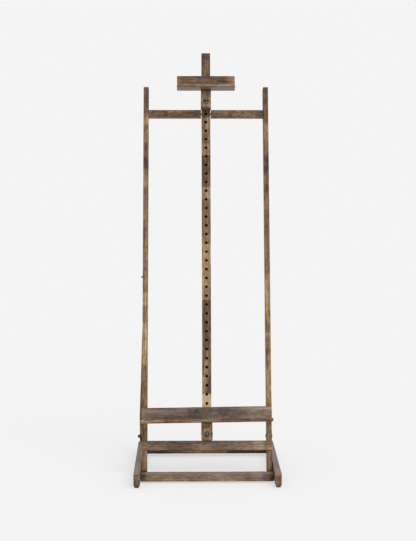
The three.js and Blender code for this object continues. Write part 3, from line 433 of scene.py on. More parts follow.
timberLook = dict(shade=0.42, spread=0.66, grey=0.0, fade=0.34, rings=0.16, fibre=0.10, worn=0.4,
                  edge=0.4, reach=0.004, ringGap=0.0045, pith=(0.045, 0.07, 0), sway=0.012, rough=0.5,
                  dust=0.45, patches=())
# each noise's share of the spread, then what places add to the shade; painted shade along the arrises is
# taken off, bore walls get painted shade, pores go to soot
shadeParts = dict(Weather=0.34, Streaks=0.30, Mottle=0.36)
shadeLifts = dict(bare=0.12, edge=0.22, grime=0.14, bore=-0.6, pores=0.55)
# depths under the faces between which a bore's wall goes dark with painted shade
boreShadeStart, boreShadeFull = 0.0016, 0.003
relief = dict(strength=0.6, distance=0.0005, rings=0.35, fibre=-0.5, pores=-0.8, edge=-0.7)
edgeSeed, edgeStretch = 0.37, 0.16
bareSeed, bareStretch = 5.1, 0.3
# painted sheen on faces that look up or down: the facing where it begins and where it is full, its most, and
# what the mottle takes off it
sheenLook = dict(level=0.8, full=0.94, most=1.2, broken=-0.5)
roughParts = dict(base=0.1, bare=-0.1, fibre=-0.08)
stainIndex = 1.35
# colour of the painted sheen, a pale mauve grey
sheenTone = (0.245, 0.195, 0.180)
soot = (0.020, 0.015, 0.012)


def band(lift, start, end, soft, waver):
    # a patch right across the timber
    return lift, start, end, -1, 1, soft, waver


def timber(node, axes, grain, **changes):
    # Aged wood. Weather, streaks and mottle give the shade of its stain, rings and fibres darken it, and it
    # is rubbed light along the arrises. Painted shade darkens a thin line inside the arrises and the faces
    # set back inside the piece, and a painted sheen greys the faces that look up or down. A patch is (lift,
    # start, end, low, high, soft, waver): the shade it adds, its places along the grain, its places across,
    # and the width and the waver of its borders.
    look = {**timberLook, **changes}
    own = ownAxes(axes, grain)
    low, high = seat(node, own)
    centre = (low + high) / 2
    half = (high - low) / 2
    start = centre - (np.zeros(3) if axes is upright else tiltPoint @ own.T)
    material, tree, surface = newMaterial(node + "Wood")
    coordinates = addNode(tree, "TexCoord")
    mapping = addNode(tree, "Mapping")
    mapping.vector_type = "TEXTURE"
    put(tree, mapping.inputs["Vector"], coordinates.outputs["Object"])
    mapping.inputs["Location"].default_value = tuple(centre @ own)
    mapping.inputs["Rotation"].default_value = Matrix(own.T.tolist()).to_euler("XYZ")
    local = mapping.outputs["Vector"]
    arris = useGroup(tree, arrisDistance, vector=local, halfSize=tuple(half))
    distance = arris["Distance"]
    grown = useGroup(tree, timberGrain, vector=local, seed=look["seed"], pith=look["pith"],
                     ringGap=look["ringGap"], sway=look["sway"])
    rubbed = useGroup(tree, rubbedEdges, vector=local, seed=look["seed"] + edgeSeed, distance=distance,
                      reach=look["reach"], amount=look["edge"], stretch=edgeStretch)
    bare = useGroup(tree, rubbedEdges, vector=local, seed=look["seed"] + bareSeed, distance=distance,
                    amount=look["worn"], stretch=bareStretch)["Rubbed"]
    shade = look["shade"] - look["spread"] / 2
    for part, share in shadeParts.items():
        shade = calc(tree, "MULTIPLY_ADD", grown[part], share * look["spread"], shade)
    for lift, first, last, side, otherSide, soft, waver in look["patches"]:
        place = (0, (side + otherSide) / 2, (first + last) / 2 - start[2])
        size = (1, (otherSide - side) / 2, (last - first) / 2)
        patch = useGroup(tree, stainPatch, vector=local, centre=place, halfSize=size, soft=soft, waver=waver)
        shade = calc(tree, "MULTIPLY_ADD", patch["Mask"], lift, shade)
    shade = calc(tree, "MULTIPLY_ADD", bare, shadeLifts["bare"], shade)
    shade = calc(tree, "MULTIPLY_ADD", grown["Rings"], -look["rings"], shade)
    shade = calc(tree, "MULTIPLY_ADD", grown["Fibre"], -look["fibre"], shade)
    shade = calc(tree, "MULTIPLY_ADD", rubbed["Edge"], shadeLifts["edge"], shade)
    # painted shade: the shade is taken down in a thin line just inside every arris
    grime = step(tree, distance, 0.0, look["reach"], shadeLifts["grime"], 0.0)
    shade = calc(tree, "SUBTRACT", shade, grime)
    # painted shade: faces set back inside the piece's box, such as the walls of bores and laps, are taken
    # down towards black
    inside = step(tree, arris["Depth"], boreShadeStart, boreShadeFull)
    shade = calc(tree, "MULTIPLY_ADD", inside, shadeLifts["bore"], shade)
    grey = calc(tree, "MULTIPLY_ADD", grown["Fade"], look["fade"], look["grey"])
    colour = useGroup(tree, stainColour, shade=shade, grey=grey)["Color"]
    colour = tint(tree, calc(tree, "MULTIPLY", grown["Pores"], shadeLifts["pores"]), colour, soot)
    # painted sheen: faces that look up or down are tinted pale grey, standing in for light surroundings
    # reflected at a grazing view
    facing = calc(tree, "ABSOLUTE", apart(tree, coordinates.outputs["Normal"])[2])
    sheened = step(tree, facing, sheenLook["level"], sheenLook["full"], 0.0, look["dust"])
    broken = calc(tree, "MULTIPLY_ADD", grown["Mottle"], sheenLook["broken"], sheenLook["most"])
    sheened = calc(tree, "MULTIPLY", sheened, broken)
    colour = tint(tree, sheened, colour, sheenTone)
    put(tree, surface.inputs["Base Color"], colour)
    rough = calc(tree, "MULTIPLY_ADD", bare, roughParts["bare"], look["rough"] + roughParts["base"])
    rough = calc(tree, "MULTIPLY_ADD", grown["Fibre"], roughParts["fibre"], rough)
    put(tree, surface.inputs["Roughness"], rough)
    surface.inputs["IOR"].default_value = stainIndex
    height = calc(tree, "MULTIPLY", grown["Rings"], relief["rings"])
    height = calc(tree, "MULTIPLY_ADD", grown["Fibre"], relief["fibre"], height)
    height = calc(tree, "MULTIPLY_ADD", grown["Pores"], relief["pores"], height)
    height = calc(tree, "MULTIPLY_ADD", rubbed["Edge"], relief["edge"], height)
    roughen(tree, surface, height, relief["strength"], relief["distance"])
    return material


metalLook = dict(colour=(0.33, 0.32, 0.30), dullColour=(0.16, 0.15, 0.14), rustColour=(0.12, 0.05, 0.022),
                 rust=0.25, metallic=0.9, rough=0.38, pitStrength=0.5, pitDepth=0.0003,
                 rustCover=0.8, scratchCover=0.35, dullRough=0.2, rustRough=0.25)


def metal(name, **changes):
    # old metal: dull blotches, rust and scratches over its own colour, and small pits
    look = {**metalLook, **changes}
    material, tree, surface = newMaterial(name)
    coordinates = addNode(tree, "TexCoord").outputs["Object"]
    handled = useGroup(tree, handledMetal, vector=coordinates, seed=look["seed"], rustAmount=look["rust"])
    colour = tint(tree, handled["Dull"], look["colour"], look["dullColour"])
    rusted = calc(tree, "MULTIPLY", handled["Rust"], look["rustCover"])
    colour = tint(tree, rusted, colour, look["rustColour"])
    scratched = calc(tree, "MULTIPLY", handled["Scratches"], look["scratchCover"])
    colour = tint(tree, scratched, colour, look["colour"])
    put(tree, surface.inputs["Base Color"], colour)
    put(tree, surface.inputs["Metallic"],
        calc(tree, "MULTIPLY", calc(tree, "SUBTRACT", 1.0, handled["Rust"]), look["metallic"]))
    rough = calc(tree, "MULTIPLY_ADD", handled["Dull"], look["dullRough"], look["rough"])
    rough = calc(tree, "MULTIPLY_ADD", handled["Rust"], look["rustRough"], rough)
    put(tree, surface.inputs["Roughness"], rough)
    height = calc(tree, "ADD", handled["Pits"], handled["Rust"])
    roughen(tree, surface, height, look["pitStrength"], look["pitDepth"])
    return material


greySteel = metal("greySteel", seed=2)
wornIron = metal("wornIron", seed=6, colour=(0.115, 0.088, 0.078), dullColour=(0.06, 0.045, 0.04), rust=0.5,
                 metallic=0.3, rough=0.5)
rubbedIron = metal("rubbedIron", seed=9, colour=(0.30, 0.255, 0.245), dullColour=(0.15, 0.125, 0.12),
                   rust=0.4, metallic=0.7, rough=0.5)
blackIron = metal("blackIron", seed=4, colour=(0.040, 0.037, 0.035), dullColour=(0.018, 0.016, 0.015),
                  rust=0.35, metallic=0.25, rough=0.55)


def gridFaces(rows, columns, loop=True, ring=False):
    # quads of a grid of points; loop closes its columns and ring its rows
    i = np.arange(rows if ring else rows - 1)[:, None]
    j = np.arange(columns if loop else columns - 1)[None, :]
    nextRow, nextColumn = (i + 1) % rows, (j + 1) % columns
    quads = [i * columns + j, i * columns + nextColumn, nextRow * columns + nextColumn, nextRow * columns + j]
    return np.stack(np.broadcast_arrays(*quads), -1).reshape(-1, 4)


def signedVolume(points, faces):
    # six times the volume that the faces enclose, from fans of triangles
    total = 0.0
    for face in faces:
        corners = points[face]
        total += np.einsum("fi,fki->", corners[:, 0], np.cross(corners[:, 1:-1], corners[:, 2:]))
    return total


def weldShell(points, faces):
    # points at one place become one, and each face drops the corners that it has twice
    first, same = np.unique(np.round(points, 7), axis=0, return_index=True, return_inverse=True)[1:]
    same, kept = same.reshape(-1), []
    for face in faces:
        corners = same[face]
        double = corners == np.roll(corners, 1, axis=1)
        kept += corners[~double.any(1)].tolist()
        for row, drop in zip(corners[double.any(1)], double[double.any(1)]):
            if (~drop).sum() > 2:
                kept.append(row[~drop].tolist())
    return points[first], kept


def addPiece(name, shells, body, material, replaced):
    # a shell is (points, [face arrays]); each is welded, turned outwards and joined to the piece
    allPoints, allFaces, start = [], [], 0
    for points, faces in shells:
        points = points.reshape(-1, 3)
        if signedVolume(points - points.mean(0), faces) < 0:
            faces = [face[:, ::-1] for face in faces]
        points, faces = weldShell(points, faces)
        allFaces += [[corner + start for corner in face] for face in faces]
        allPoints.append(points)
        start += len(points)
    mesh = bpy.data.meshes.new(name)
    mesh.from_pydata(np.concatenate(allPoints).tolist(), [], allFaces)
    mesh.polygons.foreach_set("use_smooth", [True] * len(mesh.polygons))
    mesh.materials.append(material)
    piece = bpy.data.objects.new(name, mesh)
    scene.collection.objects.link(piece)
    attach(piece, body)
    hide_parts(replaced)


def wander(rng, at, waves, length):
    # slow random line: a few sines of random phase, about -1 to 1
    phase = rng.uniform(0, 2 * math.pi, waves)
    speed = 2 * math.pi / (length * rng.uniform(0.35, 1.6, waves))
    return np.sin(at[..., None] * speed + phase).mean(-1) * 1.6


barLook = dict(arris=0.0018, places=None, step=0.006, fewest=6, dents=7, dentDepth=0.0016, dentSizes=(0.2, 1),
               dentWidths=(0.003, 0.012), drift=0.35, driftWaves=4, driftLength=0.12, leastRadius=0.00025,
               faceColumns=6, support=0.0012, noses=(1, 1, 1, 1), corner=0.0)
cornerColumns = 5
tiny = 0.00005


def barStations(low, high, look, cuts):
    # places along the bar, close together where an end is rounded or a cut begins
    soft = look["arris"]
    middle = look["places"]
    if middle is None:
        count = max(look["fewest"], int((high - low) / look["step"]))
        middle = np.linspace(low + soft, high - soft, count)
    edges = [at for cut in cuts for at in (cut["start"] - tiny, cut["start"], cut["end"], cut["end"] + tiny)]
    edges = [at for at in edges if low + soft < at < high - soft]
    corner = look["corner"]
    if corner:
        bend = corner * (1 - np.cos(np.linspace(0, math.pi / 2, 7)))
        edges = np.concatenate([edges, low + soft + bend, high - soft - bend])
    middle = np.unique(np.concatenate([middle, edges]))
    turn = np.radians([90, 90, 67.5, 45, 22.5])  # a ring on the end's face, then round its arris
    inset = soft * (1 - np.cos(turn))
    inset[0] += look["support"]
    start = low + soft * (1 - np.sin(turn))
    stations = np.concatenate([start, middle, (low + high) - start[::-1]])
    insets = np.concatenate([inset, np.zeros(len(middle)), inset[::-1]])
    return stations, insets


def wornBar(low, high, look, cuts=()):
    # A rectangle with rounded arrises carried along the third axis. Each arris has its own radius, which
    # wanders along the bar and grows at a few dents. Cuts move one side in between two places.
    look = {**barLook, **look}
    rng = np.random.default_rng(look["seed"])
    at, inset = barStations(low[2], high[2], look, cuts)
    sides = np.stack([np.full_like(at, v) for v in (low[0], high[0], low[1], high[1])])
    sides += np.array([1, -1, 1, -1])[:, None] * inset
    for cut in cuts:
        inside = (at >= cut["start"] - tiny / 2) & (at <= cut["end"] + tiny / 2)
        row = {"a-": 0, "a+": 1, "b-": 2, "b+": 3}[cut["side"]]
        sides[row] = np.where(inside, cut["to"] + (inset if row % 2 == 0 else -inset), sides[row])
    if look["corner"]:
        end = np.minimum(at - low[2], high[2] - at)
        miss = np.clip(look["corner"] - end, 0, look["corner"])
        sides[0] += look["corner"] - np.sqrt(look["corner"] ** 2 - miss ** 2)
    radii = []
    for corner in range(4):
        drift = look["drift"] * wander(rng, at, look["driftWaves"], look["driftLength"])
        radius = look["arris"] * look["noses"][corner] * (1 + drift)
        places = rng.uniform(low[2], high[2], look["dents"])
        sizes = rng.uniform(*look["dentSizes"], look["dents"])
        widths = rng.uniform(*look["dentWidths"], look["dents"])
        for place, size, width in zip(places, sizes, widths):
            radius = radius + look["dentDepth"] * size * np.exp(-((at - place) / width) ** 2)
        radii.append(np.clip(radius - inset, look["leastRadius"], None))
    ring = barRing(sides, radii, look)
    return np.concatenate([ring, np.broadcast_to(at[:, None, None], ring.shape[:2] + (1,))], -1)


def barRing(sides, radii, look):
    # corner arcs, their supports on both sides, and columns spread over the two wide faces (a- and a+)
    aLow, aHigh, bLow, bHigh = sides
    turn = np.radians(np.linspace(0, 90, cornerColumns))
    support = look["support"]
    spread = np.linspace(0, 1, look["faceColumns"] + 1)
    corners = [(aHigh, bHigh, 1, 1), (aLow, bHigh, -1, 1), (aLow, bLow, -1, -1), (aHigh, bLow, 1, -1)]
    arcs = []
    for k, (a, b, signA, signB) in enumerate(corners):
        radius = radii[k][:, None]
        angle = turn + k * math.pi / 2
        arcA = (a - signA * radii[k])[:, None] + radius * np.cos(angle)
        arcB = (b - signB * radii[k])[:, None] + radius * np.sin(angle)
        arcs.append((arcA, arcB))
    parts = []
    for k, (arcA, arcB) in enumerate(arcs):
        parts.append((arcA, arcB))
        nextA, nextB = arcs[(k + 1) % 4]
        if k % 2 == 0:  # over the b+ or b- face, narrow: two supports
            start, end = arcA[:, -1:], nextA[:, :1]
            sign = np.sign(end - start)
            parts.append((np.concatenate([start + sign * support, end - sign * support], 1),
                          np.concatenate([arcB[:, -1:], nextB[:, :1]], 1)))
        else:  # over the a- or a+ face: supports and columns between them
            start, end = arcB[:, -1:], nextB[:, :1]
            sign = np.sign(end - start)
            first, last = start + sign * support, end - sign * support
            parts.append((np.repeat(arcA[:, -1:], len(spread), 1), first + (last - first) * spread))
    a = np.concatenate([part[0] for part in parts], 1)
    b = np.concatenate([part[1] for part in parts], 1)
    return np.stack([a, b], -1)


def barShell(points, axes):
    # the bar's skin and its two end faces, in the row's axes
    rows, columns = points.shape[:2]
    ends = np.stack([np.arange(columns)[::-1], np.arange(columns) + (rows - 1) * columns])
    return points.reshape(-1, 3) @ axes, [gridFaces(rows, columns), ends]


def addBar(name, axes, grain, body, material, look, cuts=(), limits=None):
    # a worn bar in the place of a CAD node, between other ends where limits are given
    own = ownAxes(axes, grain)
    low, high = seat(name, own)
    if limits:
        low[2], high[2] = limits
    shell = barShell(wornBar(low, high, look, cuts), own)
    addPiece("worn_" + name, [shell], body, material, name)


eases = dict(wood=0.0008, strap=0.0004, fastener=0.0002, weld=0.00001, angle=30)


def finishNode(name, material, width=eases["wood"]):
    # a CAD node that stays: its loose triangles are welded, its arrises eased, and it gets its material
    piece = nodes[name]
    weld = piece.modifiers.new("weld", "WELD")
    weld.merge_threshold = eases["weld"]
    ease = piece.modifiers.new("ease", "BEVEL")
    ease.width = width
    ease.segments = 2
    ease.limit_method = "ANGLE"
    ease.angle_limit = math.radians(eases["angle"])
    piece.data.materials.clear()
    piece.data.materials.append(material)


makeCamera()
makeWorld()
makeSun("keyLight", studio["sunPower"], studio["sunSpread"], studio["sunFrom"])
makeSun("fillLight", studio["fillPower"], studio["fillSpread"], studio["fillFrom"])
makeFloor()
print("camera, light and floor made")


fitGap = 0.0003
baseBars = dict(
    front_stretcher=dict(seed=11, arris=0.0022, dents=9),
    rear_stretcher=dict(seed=12, arris=0.0022, dents=6),
)
baseWoods = dict(
    front_stretcher=dict(shade=0.47, grey=0.2, worn=0.3, dust=0.36, patches=(
        band(0.09, 0.18, 0.225, 0.01, 0.008), band(-0.10, 0.228, 0.3, 0.01, 0.006),
        # painted shade: band(-0.30, -0.3, -0.252, ...) darkens the left end, in the corner against the left
        # runner
        band(-0.14, 0.262, 0.3, 0.004, 0.003), band(-0.30, -0.3, -0.252, 0.009, 0.007),
        band(-0.08, -0.13, -0.02, 0.02, 0.01))),
    # painted shade: the low shade and the dark bands at both ends, by the posts, stand in for the shade under
    # the lower rail
    rear_stretcher=dict(shade=0.38, dust=0.6, patches=(
        band(-0.26, 0.10, 0.30, 0.02, 0.02), band(-0.2, -0.3, -0.16, 0.02, 0.02),
        band(0.10, -0.12, 0.06, 0.03, 0.02))),
    left_runner=dict(seed=13, shade=0.34, grey=0.1, spread=0.7, dust=0.66, patches=(
        band(0.12, 0.36, 0.45, 0.02, 0.01), band(-0.12, 0.12, 0.2, 0.02, 0.02))),
    right_runner=dict(seed=14, shade=0.40, grey=0.1, spread=0.7, dust=0.66, patches=(
        band(-0.12, 0.20, 0.26, 0.02, 0.02), band(0.16, -0.01, 0.012, 0.006, 0.006))),
)


def makeBase():
    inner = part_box("left_runner")[1].x + fitGap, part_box("right_runner")[0].x - fitGap
    for name, look in baseBars.items():
        wood = timber(name, upright, "x", seed=look["seed"], **baseWoods[name])
        addBar(name, upright, "x", "base", wood, look, limits=inner)
    for name in ("left_runner", "right_runner"):
        finishNode(name, timber(name, upright, "y", **baseWoods[name]))


makeBase()
print("base made")


lapDepth = 0.012
rails = dict(
    left_top_rail=dict(seed=21, dents=3),
    right_top_rail=dict(seed=26, dents=3),
    lower_rail=dict(seed=22, dents=7),
)
# rows of the peg holes are (height of the lowest one, count), and rims (wider than the bore, depth)
mastHoles = dict(radius=0.0062, deep=0.019, pitch=0.0381, rows=((0.1445, 1), (0.1943, 36), (1.5834, 3)),
                 cellSteps=8, rim=((0.0013, 0), (0.0005, 0), (0.00015, 0.0004), (0, 0.001)), floorEase=0.001)
mastLook = dict(seed=23, arris=0.0017, dents=26, dentDepth=0.0012, plainStations=60, clear=0.002)
frameWoods = dict(
    left_top_rail=dict(seed=21, shade=0.40, spread=0.9, patches=(band(0.09, -0.17, -0.10, 0.01, 0.008),)),
    right_top_rail=dict(seed=26, shade=0.33, spread=0.85, patches=(
        band(-0.10, 0.10, 0.13, 0.008, 0.006), band(-0.14, 0.215, 0.3, 0.006, 0.004))),
    lower_rail=dict(seed=22, shade=0.42, grey=0.14, patches=(
        band(-0.08, -0.165, -0.065, 0.012, 0.01), band(0.10, -0.035, 0.035, 0.006, 0.012),
        band(0.05, 0.05, 0.18, 0.012, 0.01), band(0.14, 0.195, 0.24, 0.008, 0.006),
        # painted shade: the last patch darkens a strip along the rail's bottom arris
        (-0.32, -0.3, 0.3, -0.04, -0.0188, 0.0012, 0.0008))),
    mast=dict(seed=24, shade=0.44, fade=0.16, worn=0.5, patches=(
        band(-0.24, 1.775, 1.9, 0.004, 0.003), band(-0.12, 1.60, 1.775, 0.006, 0.004),
        # the dark band from 1.512 to 1.56, under the clamp, is partly stain and partly painted shadow of the
        # clamp
        band(-0.31, 1.512, 1.56, 0.009, 0.004), band(0.20, 1.3415, 1.395, 0.004, 0.002),
        band(-0.08, 1.2017, 1.3415, 0.0015, 0.0012), band(0.17, 1.15, 1.2017, 0.003, 0.004),
        band(-0.12, 0.985, 1.145, 0.008, 0.008), band(0.22, 0.7087, 0.95, 0.002, 0.002),
        (-0.07, 0.7087, 0.95, -1, -0.003, 0.003, 0.004), band(-0.06, 0.50, 0.7087, 0.004, 0.003),
        (0.17, 0.315, 0.385, 0.001, 1, 0.004, 0.004), (-0.10, 0.315, 0.385, -1, -0.001, 0.004, 0.004),
        band(0.52, 0.15, 0.3115, 0.003, 0.003))),
    left_post=dict(seed=31, shade=0.53, spread=0.84, patches=(
        band(-0.16, 1.53, 1.8, 0.01, 0.01), band(0.18, 1.478, 1.512, 0.005, 0.005),
        band(-0.16, 1.345, 1.40, 0.012, 0.01), band(-0.30, 1.285, 1.337, 0.010, 0.006),
        band(0.13, 0.95, 1.00, 0.008, 0.008), band(0.20, 0.69, 0.745, 0.006, 0.008),
        band(0.20, 0.44, 0.615, 0.008, 0.01), band(0.14, 0.17, 0.21, 0.008, 0.006),
        band(0.07, -0.05, 0.10, 0.01, 0.01), band(0.08, 0.21, 0.94, 0.03, 0.02))),
    right_post=dict(seed=33, shade=0.455, spread=0.8, patches=(
        band(-0.14, 1.49, 1.8, 0.01, 0.01), band(-0.17, 1.262, 1.345, 0.012, 0.008),
        band(0.10, 1.10, 1.135, 0.006, 0.008), band(0.15, 0.665, 0.85, 0.008, 0.01),
        band(0.19, 0.50, 0.57, 0.008, 0.008), band(0.10, 0.27, 0.485, 0.012, 0.01),
        band(0.16, 0.16, 0.21, 0.008, 0.006), band(-0.06, -0.05, 0.09, 0.01, 0.01))),
    strut=dict(shade=0.36, patches=(band(-0.34, -0.09, -0.012, 0.006, 0.006),)),
)


def makeRails():
    own = ownAxes(leaning, "x")
    mastLow, mastHigh = seat("mast", own)
    for name, look in rails.items():
        wood = timber(name, leaning, "x", **frameWoods[name])
        low, high = seat(name, own)
        limits, cuts = None, []
        if name == "left_top_rail":
            limits = (seat("left_post", own)[1][2] + fitGap, high[2])
        elif name == "right_top_rail":
            limits = (low[2], seat("right_post", own)[0][2] - fitGap)
        else:
            start, end = mastLow[2] - fitGap, mastHigh[2] + fitGap
            cuts = [dict(start=start, end=end, side="a+", to=low[0] + lapDepth)]
        addBar(name, leaning, "x", "frame", wood, look, cuts, limits)


def mastCells(points, look, zero):
    # Round every peg hole the face is a fan: rings that change from the cell's border to the hole's rim,
    # then the bore's wall and its floor. One array holds all the cells.
    steps, columns = mastHoles["cellSteps"], look["faceColumns"]
    pitch, radius = mastHoles["pitch"], mastHoles["radius"]
    at = points[:, 0, 2]
    first = 2 * (cornerColumns + 1)  # the front face starts after two corners and the supports between them
    starts = []
    for height, count in mastHoles["rows"]:
        edge = zero[2] + height - pitch / 2
        starts += [edge + pitch * k for k in range(count)]
    rows = np.array([int(np.argmin(abs(at - start))) for start in starts])
    across = np.concatenate([np.arange(columns), np.full(steps, columns), np.arange(columns, 0, -1),
                             np.zeros(steps, int)])
    along = np.concatenate([np.zeros(columns, int), np.arange(steps), np.full(columns, steps),
                            np.arange(steps, 0, -1)])
    border = points[rows[:, None] + along, first + across]
    middle = np.zeros((len(starts), 1, 3))
    middle[:, 0, 0] = points[:, first, 0].min()
    middle[:, 0, 1] = zero[1]
    middle[:, 0, 2] = np.array(starts) + pitch / 2
    reach = border - middle
    angle = np.arctan2(reach[..., 2], reach[..., 1])
    rays = np.stack([np.zeros_like(angle), np.cos(angle), np.sin(angle)], -1)
    rings = [border]
    outer = middle + rays * (radius + mastHoles["rim"][0][0])
    rings += [border + (outer - border) * share for share in (0.35, 0.7)]
    inward = np.array([1.0, 0, 0])
    for grow, depth in mastHoles["rim"]:
        rings.append(middle + rays * (radius + grow) + inward * depth)
    floorAt = middle + inward * mastHoles["deep"]
    rings.append(floorAt - inward * mastHoles["floorEase"] + rays * radius)
    rings.append(floorAt + rays * (radius - mastHoles["floorEase"]))
    rings.append(floorAt + rays * 0)
    cells = np.stack(rings, 1)
    quads = gridFaces(cells.shape[1], cells.shape[2])
    size = cells.shape[1] * cells.shape[2]
    faces = (quads[None] + (np.arange(len(starts)) * size)[:, None, None]).reshape(-1, 4)
    inside = (rows[:, None] + np.arange(steps)).reshape(-1)
    return cells.reshape(-1, 3), faces, inside, first + np.arange(columns)


def makeMast():
    # a worn bar whose front face has the peg holes in it, and a lap at its foot for the lower rail
    own = ownAxes(leaning, "z")
    zero = tiltPoint @ own.T
    low, high = seat("mast", own)
    look = {**barLook, **mastLook}
    plain = np.linspace(low[2] + look["arris"], high[2] - look["arris"], look["plainStations"])
    pace = mastHoles["pitch"] / mastHoles["cellSteps"]
    places = []
    for height, count in mastHoles["rows"]:
        edge = zero[2] + height - mastHoles["pitch"] / 2
        stations = edge + pace * np.arange(count * mastHoles["cellSteps"] + 1)
        plain = plain[(plain < stations[0] - look["clear"]) | (plain > stations[-1] + look["clear"])]
        places.append(stations)
    look["places"] = np.sort(np.concatenate([plain, *places]))
    lap = seat("lower_rail", own)[1][2] + fitGap
    cuts = [dict(start=low[2] - fitGap, end=lap, side="a-", to=low[0] + lapDepth + fitGap)]
    points = wornBar(low, high, look, cuts)
    cellPoints, cellFaces, inside, columns = mastCells(points, look, zero)
    skin, faces = barShell(points, np.eye(3))
    width = points.shape[1]
    row, column = faces[0][:, 0] // width, faces[0][:, 0] % width
    faces[0] = faces[0][~(np.isin(row, inside) & np.isin(column, columns))]
    everything = np.concatenate([skin, cellPoints]) @ own
    shell = (everything, [*faces, cellFaces + len(skin)])
    wood = timber("mast", leaning, "z", **frameWoods["mast"])
    addPiece("worn_mast", [shell], "frame", wood, "mast")


def makePostsAndStruts():
    for side, seed in (("left", 32), ("right", 34)):
        dowel = side + "_dowel"
        finishNode(dowel, timber(dowel, leaning, "x", seed=seed, shade=0.95, spread=0.2))
        post = side + "_post"
        finishNode(post, timber(post, leaning, "z", **frameWoods[post]))
        strut = side + "_strut"
        wood = timber(strut, strutAxes(side), "z", seed=seed, **frameWoods["strut"])
        finishNode(strut, wood)


makeRails()
makeMast()
makePostsAndStruts()
print("leaning frame made")


boards = dict(
    clamp_board=dict(seed=41, arris=0.0020, dents=5),
    clamp_ledge=dict(seed=42, arris=0.0015, dents=7, noses=(1, 3.3, 3.3, 1), corner=0.007),
    tray_board=dict(seed=43, dents=9),
    tray_ledge=dict(seed=44, arris=0.0015, dents=16, noses=(1, 3.3, 3.3, 1), corner=0.007),
)
sliderWoods = dict(
    clamp_board=dict(shade=0.31, patches=(
        band(0.10, -0.16, -0.108, 0.008, 0.006), band(0.18, 0.092, 0.16, 0.012, 0.01))),
    clamp_ledge=dict(shade=0.52, grey=0.1, worn=0.6, dust=0.6, patches=(
        # painted shade: a dark patch on the ledge's underside, over the block
        (-0.6, -0.021, 0.021, -0.04, -0.0061, 0.0008, 0.0002),)),
    tray_board=dict(shade=0.46, grey=0.36, patches=(
        band(0.10, -0.3, -0.255, 0.006, 0.005), band(-0.12, -0.075, -0.018, 0.008, 0.006),
        band(0.09, 0.17, 0.3, 0.03, 0.02))),
    tray_ledge=dict(shade=0.39, fade=0.18, edge=0.7, patches=(
        band(0.26, -0.3, -0.258, 0.006, 0.006), band(0.22, -0.258, -0.17, 0.02, 0.012),
        band(-0.18, 0.06, 0.175, 0.012, 0.01), band(0.10, 0.185, 0.3, 0.01, 0.01))),
    clamp_slider=dict(seed=51, shade=0.52, grey=0.15, patches=(
        # painted shade: the first band darkens the block's top, under the ledge
        band(-0.34, 1.623, 1.7, 0.004, 0.003), band(0.16, 1.5535, 1.594, 0.004, 0.003),
        band(-0.24, 1.5, 1.5530, 0.002, 0.002))),
    tray_slider=dict(seed=52, shade=0.52, patches=(
        # painted shade: the first band darkens the block's top, under the ledge; the light patch after it, by
        # the pin, is a painted highlight
        band(-0.36, 0.188, 0.3, 0.003, 0.003), (0.30, 0.146, 0.166, -0.012, 0.012, 0.005, 0.004),
        (-0.2, 0.162, 0.176, 0.004, 0.02, 0.004, 0.004), (-0.2, 0.128, 0.15, -0.03, -0.013, 0.004, 0.004))),
)


def makeBoards():
    for name, look in boards.items():
        axes = hanging if name.startswith("tray") else leaning
        wood = timber(name, axes, "x", seed=look["seed"], **sliderWoods[name])
        addBar(name, axes, "x", name.split("_")[0], wood, look)


def makeSliders():
    for label, axes in (("clamp", leaning), ("tray", hanging)):
        block = label + "_slider"
        finishNode(block, timber(block, axes, "z", **sliderWoods[block]))
        finishNode(label + "_strap", blackIron, eases["strap"])
        for side in ("left", "right"):
            finishNode(f"{label}_strap_screw_{side}", greySteel, eases["fastener"])


makeBoards()
makeSliders()
print("clamp and tray made")


pinLook = dict(shaft=0.005, collar=0.007, collarThick=0.002, neck=0.003, neckLong=0.0035, eye=0.0055,
               eyeHole=0.0025, eyeThick=0.005, ease=0.0005, bore=0.0053, sleeve=0.007, flange=0.002)
intoAxes = leaning[[2, 0, 1]]  # third axis into the mast
acrossAxes = leaning[[1, 2, 0]]  # third axis to the right


def turned(profile, middle, axes, columns=32, closed=False):
    # a profile of (radius, along) carried round the third axis; a closed one has no poles
    radius, along = np.array(profile, float).T
    angle = np.linspace(0, 2 * math.pi, columns, endpoint=False)
    around = np.stack([np.cos(angle), np.sin(angle), np.zeros(columns)], -1)
    points = radius[:, None, None] * around + along[:, None, None] * np.array([0, 0, 1.0]) + middle
    return points.reshape(-1, 3) @ axes, [gridFaces(len(radius), columns, ring=closed)]


def easedRing(inner, outer, first, last, ease):
    # section of a flat ring with all four corners rounded
    turn = np.linspace(0, math.pi / 2, 4)
    corners = ((outer - ease, last - ease), (inner + ease, last - ease), (inner + ease, first + ease),
               (outer - ease, first + ease))
    return [(r + ease * math.cos(t + k * math.pi / 2), z + ease * math.sin(t + k * math.pi / 2))
            for k, (r, z) in enumerate(corners) for t in turn]


def hoop(middle, radius, wire, columns=64, sides=16):
    # a round wire bent to a circle in the plane across and up
    angle = np.linspace(0, 2 * math.pi, columns, endpoint=False)[:, None]
    turn = np.linspace(0, 2 * math.pi, sides, endpoint=False)[None]
    reach = radius + wire * np.cos(turn)
    across, into, up = reach * np.cos(angle), wire * np.sin(turn) + 0 * angle, reach * np.sin(angle)
    points = np.stack([across, into, up], -1) + middle
    return points.reshape(-1, 3), [gridFaces(columns, sides, ring=True)]


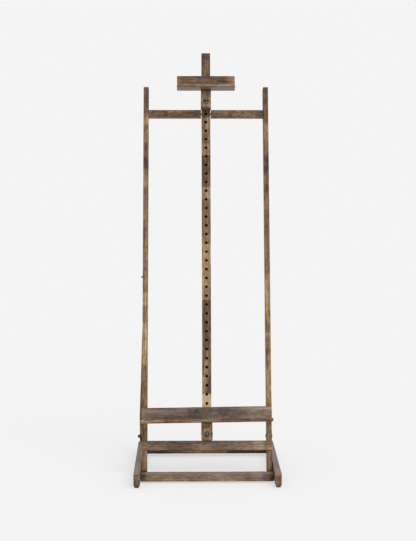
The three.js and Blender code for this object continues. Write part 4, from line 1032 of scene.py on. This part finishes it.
def makePin(label):
    # a turned pin with a collar, and a flat eye on the end of its neck
    name = label + "_pin"
    low, high = seat(name, intoAxes)
    look = pinLook
    middle = (low + high) / 2
    middle[2] = 0
    eyeAt = low[2] + look["eye"]
    neck = low[2] + 2 * look["eye"] - look["ease"]
    collar = low[2] + 2 * look["eye"] + look["neckLong"]
    shaft, ease = collar + look["collarThick"], look["ease"]
    thin, wide, plain, tip = look["neck"], look["collar"], look["shaft"], high[2]
    profile = [(0, neck), (thin, neck), (thin, collar), (wide - ease, collar), (wide, collar + ease),
               (wide, shaft - ease), (wide - ease, shaft), (plain, shaft), (plain, tip - 2 * ease),
               (plain - ease, tip - ease), (plain - 3 * ease, tip), (0, tip)]
    half = look["eyeThick"] / 2
    eye = easedRing(look["eyeHole"], look["eye"], -half, half, 2 * ease)
    eyeMiddle = np.array([eyeAt, middle[0], middle[1]])  # the same point in the axes that end across
    shells = [turned(profile, middle, intoAxes), turned(eye, eyeMiddle, acrossAxes, closed=True)]
    addPiece("turned_" + name, shells, name, rubbedIron, name)


def makePullRing(label):
    name = label + "_ring"
    low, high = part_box(name)
    middle, half = np.array((low + high) / 2), np.array((high - low) / 2)
    ring = hoop(middle, half[0] - half[1], half[1])
    addPiece("bent_" + name, [ring], name, blackIron, name)


def makeFerrule(label):
    # the pin's sleeve with its flange, turned from one closed section
    name = label + "_ferrule"
    low, high = seat(name, intoAxes)
    middle, outer = (low + high) / 2, (high[0] - low[0]) / 2
    middle[2] = 0
    bore, sleeve, ease = pinLook["bore"], pinLook["sleeve"], pinLook["ease"]
    front, back = low[2], high[2]
    flange = front + pinLook["flange"]
    profile = [(bore, front + ease), (bore + ease, front), (outer - 3 * ease, front),
               (outer - ease, front + ease), (outer, front + 2 * ease), (outer, flange), (sleeve, flange),
               (sleeve, back), (bore, back)]
    shell = turned(profile, middle, intoAxes, closed=True)
    addPiece("turned_" + name, [shell], label, blackIron, name)


for label in ("clamp", "tray"):
    makePin(label)
    makePullRing(label)
    makeFerrule(label)
print("pins and rings made")

# bolts, nuts, plates and screws keep their CAD shape
for name, piece in nodes.items():
    if not piece.hide_render and not piece.modifiers:
        iron = wornIron if "lock" in name or "nut" in name else blackIron
        dark = name.endswith(("_plate", "_nut")) or name == "left_lock_bolt"
        finishNode(name, iron if dark else greySteel, eases["fastener"])
